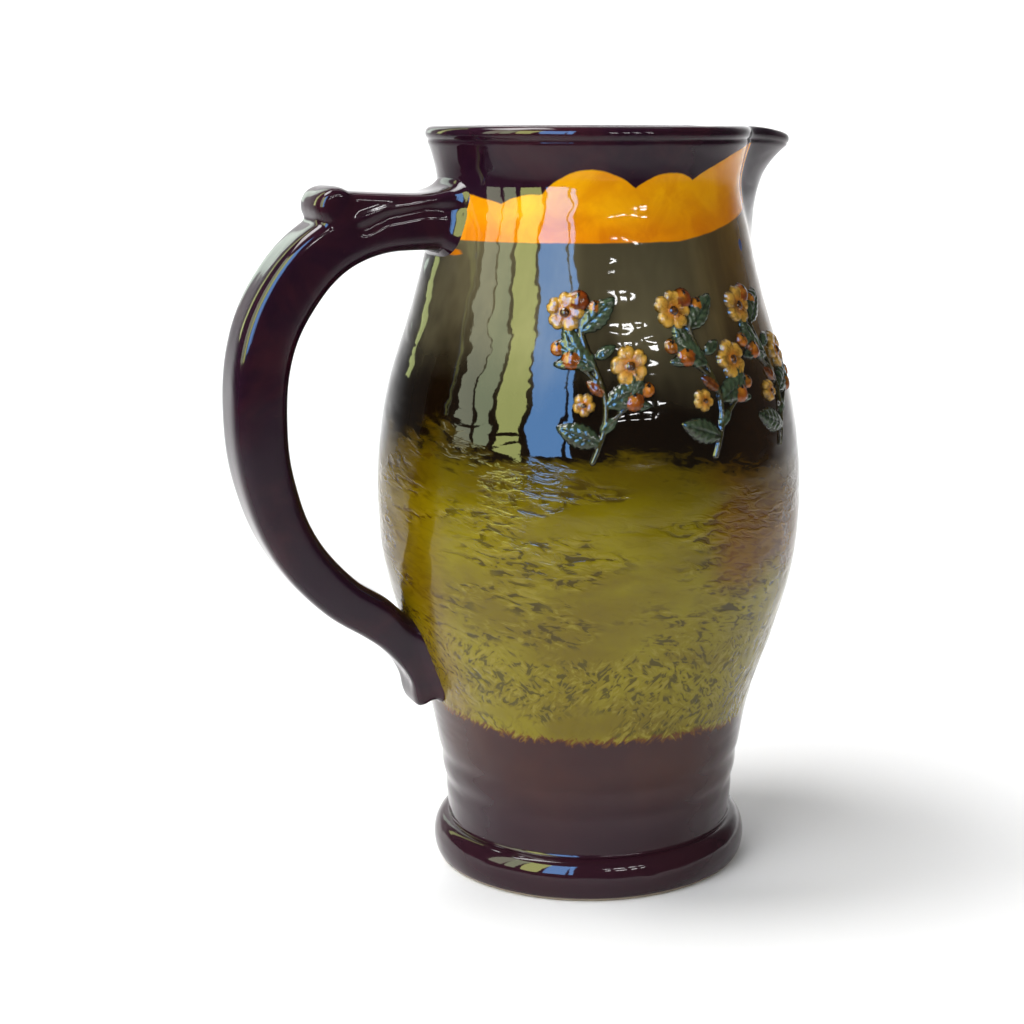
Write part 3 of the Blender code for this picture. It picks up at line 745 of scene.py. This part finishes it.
class Relief:
    """A patch of the wall as a height field. Forms are laid on it in metres across and up."""

    def __init__(self, azimuth, mirror):
        self.azimuth = azimuth
        self.mirror = mirror
        across = np.arange(-RELIEF_HALF_WIDTH, RELIEF_HALF_WIDTH, RELIEF_PITCH)
        up = np.arange(RELIEF_LOW, RELIEF_TOP, RELIEF_PITCH)
        self.across, self.up = np.meshgrid(across, up)
        self.lift = np.full(self.across.shape, -RELIEF_SUNK)
        self.tint = np.zeros((*self.across.shape, 3))
        self.edge = np.full(self.across.shape, -0.01)

    def lay(self, inside, rise, tint):
        """inside is the distance in from the form's edge, rise its height there, tint its colour."""
        lift = np.where(inside > 0.0, rise, -RELIEF_SUNK)
        shown = (inside > 0.0) & (lift >= self.lift)
        pooled = smooth_step(0.0, 0.0006, inside)[..., None]
        self.lift = np.maximum(self.lift, lift)
        tint = np.broadcast_to(np.asarray(tint), self.tint.shape)
        self.tint = np.where(shown[..., None], tint * (0.12 + 0.88 * pooled), self.tint)
        self.edge = np.maximum(self.edge, inside)

    def leaf(self, across, up, heading, length, shade=1.0, rust=False):
        a = (self.across - across) * math.sin(heading) + (self.up - up) * math.cos(heading)
        b = (self.across - across) * math.cos(heading) - (self.up - up) * math.sin(heading)
        share = np.clip(a / length, 0.0, 1.0)
        teeth = 0.86 + 0.14 * np.abs(np.sin(share * math.pi * 7.0 + 0.5))
        half = length * LEAF_WIDTH / LEAF_LENGTH / 2 * np.sin(math.pi * share**0.82) ** 0.75 * teeth
        inside = np.where((a > 0.0) & (a < length), half - np.abs(b), -np.abs(b) - 0.001)
        body = 1.0 - np.exp(-np.maximum(inside, 0.0) / 0.0008)
        rib = np.exp(-((b / 0.00034) ** 2))
        vein = 0.5 + 0.5 * np.sin((a - np.abs(b) * 0.9) * math.tau / 0.0023)
        rise = LEAF_RISE * body * (0.86 - 0.34 * rib + 0.14 * vein)
        dark, pale = np.array(LEAF_RUST) if rust else np.array(LEAF_GREEN) * shade
        mix = np.clip(0.18 + 0.42 * vein * body - 0.5 * rib, 0.0, 1.0)[..., None]
        self.lay(inside, rise, dark * (1 - mix) + pale * mix)

    def berry(self, across, up, size=1.0, warm=0.0):
        radius = BERRY_RADIUS * size
        r = np.hypot(self.across - across, self.up - up)
        dome = np.sqrt(np.clip(1.0 - (r / radius) ** 2, 0.0, 1.0))
        rise = BERRY_RISE * size * dome
        skin = np.array(BERRY[0]) * (1 - warm) + np.array(BERRY[1]) * warm
        # Painted highlight: a pale spot up and to the left on each berry, mixed in at up to 55 percent
        painted_highlight = np.exp(-(((self.across - across + 0.0008) ** 2 + (self.up - up - 0.0009) ** 2) / 0.0012**2))
        mix = (0.55 * painted_highlight)[..., None]
        self.lay(radius - r, rise, skin * (1 - mix) + np.array(BERRY_PAINTED_HIGHLIGHT) * mix)
        tip = np.hypot(self.across - across, self.up - up - radius * 0.62)
        self.lay(BERRY_TIP_RADIUS - tip, BERRY_RISE * size * 0.95, BERRY_TIP)

    def blossom(self, across, up, turn=0.0, size=1.0):
        x, y = self.across - across, self.up - up
        r = np.hypot(x, y)
        angle = np.arctan2(x, y) + turn
        petal = np.abs(np.cos(2.5 * angle))
        notch = 0.08 * np.exp(-((np.abs(np.sin(2.5 * angle)) / 0.22) ** 2))
        reach = BLOSSOM_RADIUS * size * (0.66 + 0.34 * petal**0.5 - notch)
        inside = reach - r
        share = r / np.maximum(reach, 1e-6)
        seam = np.exp(-((petal / 0.20) ** 2)) * (1.0 - np.exp(-((share / 0.3) ** 2)))
        cup = 0.55 + 0.60 * share
        rise = BLOSSOM_RISE * cup * (1.0 - 0.45 * seam) * (1.0 - np.exp(-np.maximum(inside, 0.0) / 0.0005))
        mix = np.clip(1.1 - 1.5 * share + 0.4 * seam, 0.0, 1.0)[..., None]
        self.lay(inside, rise, np.array(PETAL_CREAM) * (1 - mix) + np.array(PETAL_BLUSH) * mix)
        heart = HEART_RADIUS * size
        dome = np.sqrt(np.clip(1.0 - (r / heart) ** 2, 0.0, 1.0))
        dots = 0.5 + 0.5 * np.sin(9.0 * angle)
        heart_tint = np.array(HEART_BROWN) * (0.5 + dots[..., None])
        self.lay(heart - r, BLOSSOM_RISE * (0.75 + 0.5 * dome), heart_tint)

    def stem(self, points, width=1.0):
        best = np.full(self.across.shape, 1.0)
        for (x0, y0), (x1, y1) in zip(points, points[1:]):
            dx, dy = x1 - x0, y1 - y0
            t = np.clip(((self.across - x0) * dx + (self.up - y0) * dy) / (dx * dx + dy * dy), 0.0, 1.0)
            best = np.minimum(best, np.hypot(self.across - x0 - dx * t, self.up - y0 - dy * t))
        half = STEM_WIDTH / 2 * 0.8 * width
        inside = half - best
        rise = STEM_RISE * np.sqrt(np.clip(1.0 - (best / half) ** 2, 0.0, 1.0))
        self.lay(inside, rise, STEM_BROWN)

    def softened(self):
        """The heights, rounded off as glaze rounds them."""
        lift = self.lift
        for _ in range(2):
            lift = lift * 0.5 + ring_sum(np.pad(lift, 1, mode="edge")) * 0.125
        return lift

    def spread_tint(self):
        """The colours, carried a few cells out over the edge and darker there."""
        tint = self.tint
        known = self.edge > 0.0
        for _ in range(4):
            total = ring_sum(np.pad(tint * known[..., None], ((1, 1), (1, 1), (0, 0))))
            share = ring_sum(np.pad(known.astype(float), 1))
            spread = total / np.maximum(share, 1.0)[..., None]
            tint = np.where(known[..., None], tint, spread * 0.55)
            known = known | (share > 0)
        return tint

    def finish(self, places, faces, tints):
        """Adds the cells that show to the mesh, with a skirt that goes under the wall."""
        lift = self.softened()
        tint = self.spread_tint()
        height = SPRAY_LOW + self.up
        radius = wall_radii(height) + lift
        azimuth = self.azimuth + self.mirror * self.across / wall_radii(height)
        shown = lift > -RELIEF_SUNK * 0.92
        keep = shown[:-1, :-1] | shown[1:, :-1] | shown[:-1, 1:] | shown[1:, 1:]
        number = np.full(lift.shape, -1)
        used = np.zeros(lift.shape, dtype=bool)
        used[:-1, :-1] |= keep
        used[1:, :-1] |= keep
        used[:-1, 1:] |= keep
        used[1:, 1:] |= keep
        number[used] = len(places) + np.arange(used.sum())
        spots = np.stack([radius * np.cos(azimuth), radius * np.sin(azimuth), height], -1)
        places.extend(spots[used])
        tints.extend(tint[used])
        for row, column in zip(*np.nonzero(keep)):
            corners = ((row, column), (row, column + 1), (row + 1, column + 1), (row + 1, column))
            quad = tuple(int(number[corner]) for corner in corners)
            faces.append(quad if self.mirror > 0 else quad[::-1])


def lay_spray(relief):
    """A briar spray: a bent stem with two twigs, leaves by turns, hips and open blossoms."""
    tall = SPRAY_HIGH - SPRAY_LOW
    spread = tall * SPRAY_SPREAD

    def spine(share):
        return spread * 0.35 * math.sin(share * math.tau * 0.8), tall * share

    relief.stem([spine(i / 24) for i in range(25)])
    for share, side in ((0.22, 1), (0.48, -1)):
        across, up = spine(share)
        tip = (across + side * spread * 0.75, up + tall * 0.16)
        relief.stem([(across, up), tip], 0.8)
        leaf_root = tip[0] - side * 0.2 * spread
        small_root = tip[0] - side * 0.1 * spread
        relief.leaf(leaf_root, tip[1], math.radians(side * 25), LEAF_LENGTH * 0.8, 1.15)
        relief.leaf(small_root, tip[1] - 0.001, math.radians(side * 95), LEAF_LENGTH * 0.5, 0.9)
        relief.berry(*tip, 1.0, 0.3)
        relief.berry(tip[0] + side * 0.0042, tip[1] + 0.0030, 0.72, 0.9)
    for i in range(4):
        share = 0.12 + 0.23 * i
        across, up = spine(share)
        side = 1 if i % 2 else -1
        relief.leaf(across, up, math.radians(side * (70 - 8 * i)), LEAF_LENGTH, 0.85 + 0.1 * i)
        opposite = math.radians(-side * (48 + 6 * i))
        relief.leaf(across, up + 0.003, opposite, LEAF_LENGTH * 0.52, 1.2, rust=i % 2 == 1)
    relief.berry(*spine(1.0), 1.0, 0.0)
    relief.berry(spine(1.0)[0] + 0.0048, spine(1.0)[1] - 0.0022, 0.75, 0.8)
    relief.blossom(spine(0.36)[0] + spread * 0.62, tall * 0.60, 0.3)
    relief.blossom(spine(0.7)[0] - spread * 0.55, tall * 0.93, 1.1)
    relief.blossom(spine(0.5)[0] - spread * 0.42, tall * 0.36, 0.7, 0.6)


def make_relief():
    places, faces, tints = [], [], []
    for degrees in SPRAY_AZIMUTHS:
        relief = Relief(math.radians(degrees), 1 if degrees > 180 else -1)
        lay_spray(relief)
        relief.finish(places, faces, tints)
    obj = add_mesh("jug_sprays", places, faces)
    layer = obj.data.attributes.new("tint", "FLOAT_VECTOR", "POINT")
    layer.data.foreach_set("vector", np.asarray(tints, dtype=np.float32).ravel())
    return obj


class Glaze:
    """A Principled material and short ways to add nodes to it."""

    def __init__(self, name, roughness=0.06, specular=0.5):
        self.material = bpy.data.materials.new(name)
        self.material.use_nodes = True
        self.tree = self.material.node_tree
        self.shader = self.tree.nodes["Principled BSDF"]
        self.shader.inputs["Roughness"].default_value = roughness
        self.shader.inputs["IOR"].default_value = 1.5
        self.shader.inputs["Specular IOR Level"].default_value = specular
        self.place = self.node("TexCoord").outputs["Object"]

    def put(self, target, value):
        """Links a socket, or sets a plain number, vector or colour."""
        if isinstance(value, bpy.types.NodeSocket):
            self.tree.links.new(value, target)
        elif isinstance(value, tuple) and target.type == "RGBA":
            target.default_value = (*value, 1.0)
        else:
            target.default_value = value

    def node(self, kind, **inputs):
        """A new node. Its inputs are given by name, with _ for a space."""
        node = self.tree.nodes.new("ShaderNode" + kind)
        for name, value in inputs.items():
            self.put(node.inputs[name.replace("_", " ")], value)
        return node

    def field(self, name, output="Fac"):
        """What the mesh keeps on its points under that name."""
        node = self.node("Attribute")
        node.attribute_name = name
        return node.outputs[output]

    def math(self, operation, *values):
        node = self.node("Math")
        node.operation = operation
        for target, value in zip(node.inputs, values):
            self.put(target, value)
        return node.outputs[0]

    def swing(self, value, reach):
        """A noise value as a swing to both sides of zero, reach being its full width."""
        return self.math("MULTIPLY", self.math("SUBTRACT", value, 0.5), reach)

    def stretched(self, up):
        """The place on the piece with its height scaled, for a noise that is drawn out."""
        return self.node("Mapping", Vector=self.place, Scale=(1.0, 1.0, up)).outputs[0]

    def strokes(self, heading, length, width, distortion, detail=2.0):
        """Noise drawn out into strokes along the wall. Heading in degrees, positive up to the right."""
        height = self.node("SeparateXYZ", Vector=self.place).outputs["Z"]
        flat = self.node("CombineXYZ", X=self.field("round"), Y=height).outputs[0]
        turned = self.node("Mapping")
        turned.vector_type = "TEXTURE"
        self.put(turned.inputs["Vector"], flat)
        self.put(turned.inputs["Rotation"], (0.0, 0.0, math.radians(heading)))
        self.put(turned.inputs["Scale"], (length, width, 1.0))
        return self.noise(1.0, detail, 0.5, distortion, turned.outputs[0])

    def noise(self, scale, detail=3.0, rough=0.55, distortion=0.0, at=None):
        node = self.node("TexNoise", Vector=at or self.place, Scale=scale, Detail=detail)
        self.put(node.inputs["Roughness"], rough)
        self.put(node.inputs["Distortion"], distortion)
        return node.outputs["Fac"]

    def between(self, value, low, high, out_low=0.0, out_high=1.0):
        """A smooth step from out_low at low to out_high at high. High may lie under low."""
        node = self.node("MapRange", Value=value, From_Min=low, From_Max=high)
        self.put(node.inputs["To Min"], out_low)
        self.put(node.inputs["To Max"], out_high)
        node.interpolation_type = "SMOOTHSTEP"
        return node.outputs["Result"]

    def mix(self, share, first, second):
        """Colour. The colour sockets of a Mix node are its inputs 6 and 7, and its output 2."""
        node = self.node("Mix")
        node.data_type = "RGBA"
        for target, value in ((0, share), (6, first), (7, second)):
            self.put(node.inputs[target], value)
        return node.outputs[2]

    def bump(self, height, distance, strength=1.0, **after):
        """A normal. The bump that it lies on is given as Normal."""
        node = self.node("Bump", Distance=distance, Strength=strength, Height=height, **after)
        return node.outputs["Normal"]

    def finish(self, colour, normal):
        self.put(self.shader.inputs["Base Color"], colour)
        self.put(self.shader.inputs["Normal"], normal)
        return self.material


def plum_colour(g):
    """Dark aubergine that breaks to red-brown where it is thin."""
    cloud = g.between(g.noise(38.0, 4.0, 0.6, 0.6), 0.38, 0.68)
    fleck = g.between(g.noise(420.0, 2.0), 0.66, 0.80)
    return g.mix(g.math("MULTIPLY", fleck, 0.20), g.mix(cloud, *PLUM), PLUM_FLECK)


def upper_colour(g, moss, warm):
    """Olive brown, near black low down towards the moss, warmer towards the spout, where painted light
    brightens it.
    """
    run = g.noise(34.0, 4.0, 0.6, 0.3, g.stretched(0.28))
    streak = g.between(run, 0.36, 0.66)
    # Towards the spout: warmer brown, brightened as painted light for that dimmer lit side
    upper = g.mix(warm, g.mix(streak, *OLIVE), g.mix(streak, *BROWN_WITH_PAINTED_LIGHT))
    # Darker towards the moss below: near black within about 16 mm over its top line, the edge wavering with
    # the streaks
    pooled = g.math("ADD", moss, g.swing(run, 40.0))
    upper = g.mix(g.between(pooled, 50.0, 16.0), upper, g.mix(warm, *OLIVE_DARK_LOW))
    upper = g.mix(g.between(g.field("spot"), 1.25, 0.85), upper, SPOT_BLUE)
    return g.mix(g.between(g.field("sliver"), 1.3, 0.8), upper, SLIVER_AMBER)


def moss_colour(g, moss, low, worked, cloud, dragged, depth):
    """Moss green, dark in the hollows of the worked patches, pale on their crests, golden in places, and
    beside the handle a painted reflection of the handle.
    """
    ground = g.mix(g.between(cloud, 0.34, 0.66), *MOSS)
    hollow = g.math("MULTIPLY", g.between(depth, 0.49, 0.38), g.math("MULTIPLY_ADD", worked, 0.85, 0.10))
    hollow = g.math("MULTIPLY", hollow, g.between(low, 0.0, 1.0, 0.90, 0.95))
    mossy = g.mix(hollow, ground, g.mix(low, *MOSS_HOLLOW))
    crest = g.math("MULTIPLY", g.between(depth, 0.52, 0.66), g.math("MULTIPLY", worked, 0.80))
    mossy = g.mix(crest, mossy, MOSS_CREST)
    # Golden glaze, and beside the handle a painted reflection of the handle in the same colours
    mossy = g.mix(g.field("golden_and_painted_reflection"), mossy, g.mix(g.between(dragged, 0.35, 0.62), *GOLDEN_AND_PAINTED_REFLECTION))
    return g.mix(g.math("MULTIPLY", g.between(moss, -24.0, 0.0), 0.72), mossy, MOSS_EDGE)


def band_colour(g, band, warm):
    """Painted orange, deeper and redder at its lower edge, warmer towards the spout, where painted light
    brightens it.
    """
    painted = g.between(g.noise(70.0, 4.0, 0.6, 0.8), 0.34, 0.68)
    orange = g.mix(g.between(band, 1.0, 11.0), g.mix(painted, *BAND_DEEP), g.mix(painted, *BAND_BRIGHT))
    # Towards the spout: warmer orange, brightened as painted light for that dimmer lit side
    return g.mix(g.math("MULTIPLY", warm, 0.60), orange, BAND_WARM_WITH_PAINTED_LIGHT)


def body_glaze():
    """The zones of the body, each laid over the one before it, and its finest relief."""
    g = Glaze("body_glaze", specular=0.33)
    scallop, band, moss, plum = (g.field(name) for name in ("scallop", "band", "moss", "plum"))
    warm, bare = g.field("warm"), g.field("bare")
    quiver = g.swing(g.noise(160.0, 3.0), 0.9)

    # Strokes in the moss: patches of it are dragged sideways above and swirled below
    dragged = g.strokes(-9.0, 0.0064, 0.0020, 1.0, 3.0)
    rising = g.strokes(40.0, 0.0042, 0.0019, 1.0)
    falling = g.strokes(-36.0, 0.0040, 0.0020, 1.0)
    cloud = g.noise(24.0, 3.0, 0.5, 0.4, g.stretched(2.0))
    clusters = g.noise(30.0, 2.0, 0.5, 0.5, g.stretched(2.6))
    low = g.between(plum, 42.0, 24.0)
    worked = g.between(g.math("ADD", clusters, g.math("MULTIPLY", low, 0.09)), 0.46, 0.58)
    swirled = g.mix(g.between(g.noise(85.0, 1.0), 0.46, 0.56), rising, falling)
    depth = g.mix(low, dragged, swirled)

    # The moss breaks into the dark wall over it in ragged dragged strokes
    rag = g.math("ADD", g.math("ADD", moss, g.swing(cloud, 44.0)), g.swing(dragged, 18.0))
    mossy = moss_colour(g, moss, low, worked, cloud, dragged, depth)
    wall = g.mix(g.between(rag, -5.0, 4.5), mossy, upper_colour(g, moss, warm))

    # Orange band, and the plum of the rim over its scalloped edge
    band_edge = g.math("ADD", band, g.math("MULTIPLY", quiver, 0.5))
    wall = g.mix(g.between(band_edge, -0.30, 0.30), wall, band_colour(g, band, warm))
    plum_dark = plum_colour(g)
    wall = g.mix(g.between(g.math("ADD", scallop, quiver), -0.32, 0.32), wall, plum_dark)

    # Base: plum brown, an amber line where the moss glaze thins over it
    base = g.mix(g.between(g.noise(20.0, 3.0), 0.35, 0.7), *BASE)
    base = g.mix(g.between(plum, -10.0, -34.0, 0.0, 0.75), base, BASE_LOW)
    seam = g.math("ADD", plum, g.swing(swirled, 7.0))
    wall = g.mix(g.between(seam, 1.9, 0.2), wall, SEAM_AMBER)
    wall = g.mix(g.between(seam, 0.6, -0.9), wall, base)
    wall = g.mix(g.field("inside"), wall, plum_dark)
    wall = g.mix(bare, wall, g.mix(g.noise(300.0, 4.0), *CLAY))

    in_moss = g.math("MULTIPLY", g.between(seam, 0.0, 2.0), g.between(rag, 3.0, -3.0))
    in_moss = g.math("MULTIPLY", in_moss, g.math("MULTIPLY_ADD", worked, 0.85, 0.15))
    strokes = g.bump(depth, 0.00045, in_moss)
    thrown = g.noise(34.0, 2.0, 0.45, 0.2, g.stretched(2.4))
    ripple = g.bump(thrown, 0.0016, 0.55, Normal=strokes)
    peel = g.bump(g.noise(520.0, 2.0), 0.00002, 0.5, Normal=ripple)

    # Smooth above the seam, duller on the base, smooth again on the foot ring, and rough on bare clay
    base_sheen = g.between(seam, 2.0, -2.0, 0.035, 0.13)
    foot_gloss = g.between(plum, -37.0, -42.0, 0.0, 0.08)
    glazed = g.math("SUBTRACT", base_sheen, foot_gloss)
    g.put(g.shader.inputs["Roughness"], g.math("ADD", g.math("MULTIPLY", bare, 0.6), glazed))
    return g.finish(wall, peel)


def handle_glaze():
    g = Glaze("handle_glaze", specular=0.34)
    ripple = g.bump(g.noise(60.0, 2.0, 0.4), 0.0010, 0.25)
    peel = g.bump(g.noise(520.0, 2.0), 0.00002, 0.5, Normal=ripple)
    return g.finish(plum_colour(g), peel)


def spray_glaze():
    """The colours laid on the sprays, under glaze that darkens them where it pools."""
    g = Glaze("spray_glaze")
    pooled = g.between(g.noise(420.0, 4.0, 0.6, 0.5), 0.40, 0.66)
    colour = g.mix(g.math("MULTIPLY", pooled, 0.60), g.field("tint", "Color"), SPRAY_POOL)
    peel = g.bump(g.noise(620.0, 3.0), 0.00020, 0.8)
    return g.finish(colour, peel)


def paper_sweep(back):
    """White paper that runs from under the camera to behind the jug and bends up there."""
    paper = bpy.data.materials.new("paper")
    paper.use_nodes = True
    shader = paper.node_tree.nodes["Principled BSDF"]
    shader.inputs["Base Color"].default_value = (0.90, 0.90, 0.90, 1.0)
    shader.inputs["Roughness"].default_value = 0.9
    shader.inputs["Specular IOR Level"].default_value = 0.1
    side = Vector((back.y, -back.x, 0.0))
    profile = [(-SWEEP_NEAR, 0.0)]
    for degrees in range(0, 91, 9):
        turn = math.radians(degrees)
        rise = SWEEP_BEND * (1 - math.cos(turn))
        profile.append((SWEEP_FAR + SWEEP_BEND * math.sin(turn), rise))
    profile.append((SWEEP_FAR + SWEEP_BEND, SWEEP_TOP))
    places = []
    for along, up in profile:
        for across in (-SWEEP_HALF_WIDTH, SWEEP_HALF_WIDTH):
            places.append(back * along + side * across + Vector((0.0, 0.0, up)))
    faces = [(2 * i, 2 * i + 1, 2 * i + 3, 2 * i + 2) for i in range(len(profile) - 1)]
    sheet = add_mesh("paper_sweep", places, faces)
    sheet.data.materials.append(paper)


def room_light():
    world = bpy.data.worlds.new("studio")
    bpy.context.scene.world = world
    world.use_nodes = True
    world.node_tree.nodes["Background"].inputs["Color"].default_value = (0.94, 0.97, 1.0, 1.0)
    world.node_tree.nodes["Background"].inputs["Strength"].default_value = 0.09


def soft_box(name, azimuth, elevation, distance, size, power, target=JUG_MIDDLE, spread=180.0):
    """A lamp seen from the target. Its azimuth is counted from the camera, positive to the left."""
    a = VIEW_AZIMUTH - math.radians(azimuth)
    e = math.radians(elevation)
    toward = Vector((math.sin(a) * math.cos(e), -math.cos(a) * math.cos(e), math.sin(e)))
    light = bpy.data.lights.new(name, "AREA")
    light.shape = "RECTANGLE"
    light.size, light.size_y = size
    light.energy = power
    light.spread = math.radians(spread)
    lamp = bpy.data.objects.new(name, light)
    lamp.location = target + toward * distance
    lamp.rotation_euler = toward.to_track_quat("Z", "Y").to_euler()
    bpy.context.scene.collection.objects.link(lamp)
    return lamp


def lamps(back):
    """A window's panes and two rows of tubes for the gloss, and soft light for everything else."""
    for name, azimuth, width, power, colour in PANES:
        pane = soft_box(name, azimuth, PANE_ELEVATION, PANE_DISTANCE, (width, PANE_HEIGHT), power)
        pane.data.color = colour
        pane.visible_diffuse = False
    for i in range(8):
        azimuth = -16.0 - 8.0 * (i % 4)
        elevation = 20.0 + 9.0 * (i // 4)
        tube = soft_box(f"tube_{i}", azimuth, elevation, TUBE_DISTANCE, TUBE_SIZE, TUBE_POWER)
        tube.visible_diffuse = False

    daylight = soft_box("daylight", 40.0, 32.0, 1.2, (0.90, 0.80), 2.75, spread=78.0)
    fill = soft_box("fill", -44.0, 38.0, 1.3, (0.80, 0.80), 0.62, spread=80.0)
    for lamp in (daylight, fill):
        lamp.visible_glossy = False
    soft_box("key", 92.0, 64.0, 1.5, (0.74, 0.74), 3.1, spread=62.0)
    backdrop = back * 1.7 + Vector((0.0, 0.0, 0.5))
    soft_box("backdrop_top", 0.0, 66.0, 1.6, (1.5, 1.2), 26.0, target=backdrop, spread=110.0)


def camera():
    toward = Vector((math.sin(VIEW_AZIMUTH), -math.cos(VIEW_AZIMUTH), 0.0))
    data = bpy.data.cameras.new("camera")
    data.sensor_width = 36.0
    data.lens = VIEW_LENS
    data.shift_x = VIEW_SHIFT
    data.clip_start = 0.01
    obj = bpy.data.objects.new("camera", data)
    obj.location = toward * VIEW_DISTANCE + Vector((0.0, 0.0, VIEW_HEIGHT))
    obj.rotation_euler = (math.pi / 2 - VIEW_PITCH, 0.0, VIEW_AZIMUTH)
    bpy.context.scene.collection.objects.link(obj)
    bpy.context.scene.camera = obj


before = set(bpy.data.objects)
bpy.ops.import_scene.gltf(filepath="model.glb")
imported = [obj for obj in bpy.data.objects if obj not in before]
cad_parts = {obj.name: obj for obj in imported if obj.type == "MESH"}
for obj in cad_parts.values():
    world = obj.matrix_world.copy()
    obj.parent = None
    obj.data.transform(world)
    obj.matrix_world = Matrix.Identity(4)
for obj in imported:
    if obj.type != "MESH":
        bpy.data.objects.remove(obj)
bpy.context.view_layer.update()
camera()
pieces = {make_body(): body_glaze(), make_handle(): handle_glaze(), make_relief(): spray_glaze()}
for piece, glaze in pieces.items():
    piece.data.materials.append(glaze)
    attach(piece, "root")
    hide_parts("jug")
away = Vector((-math.sin(VIEW_AZIMUTH), math.cos(VIEW_AZIMUTH), 0.0))
paper_sweep(away)
room_light()
lamps(away)
bpy.context.scene.view_settings.view_transform = "Standard"
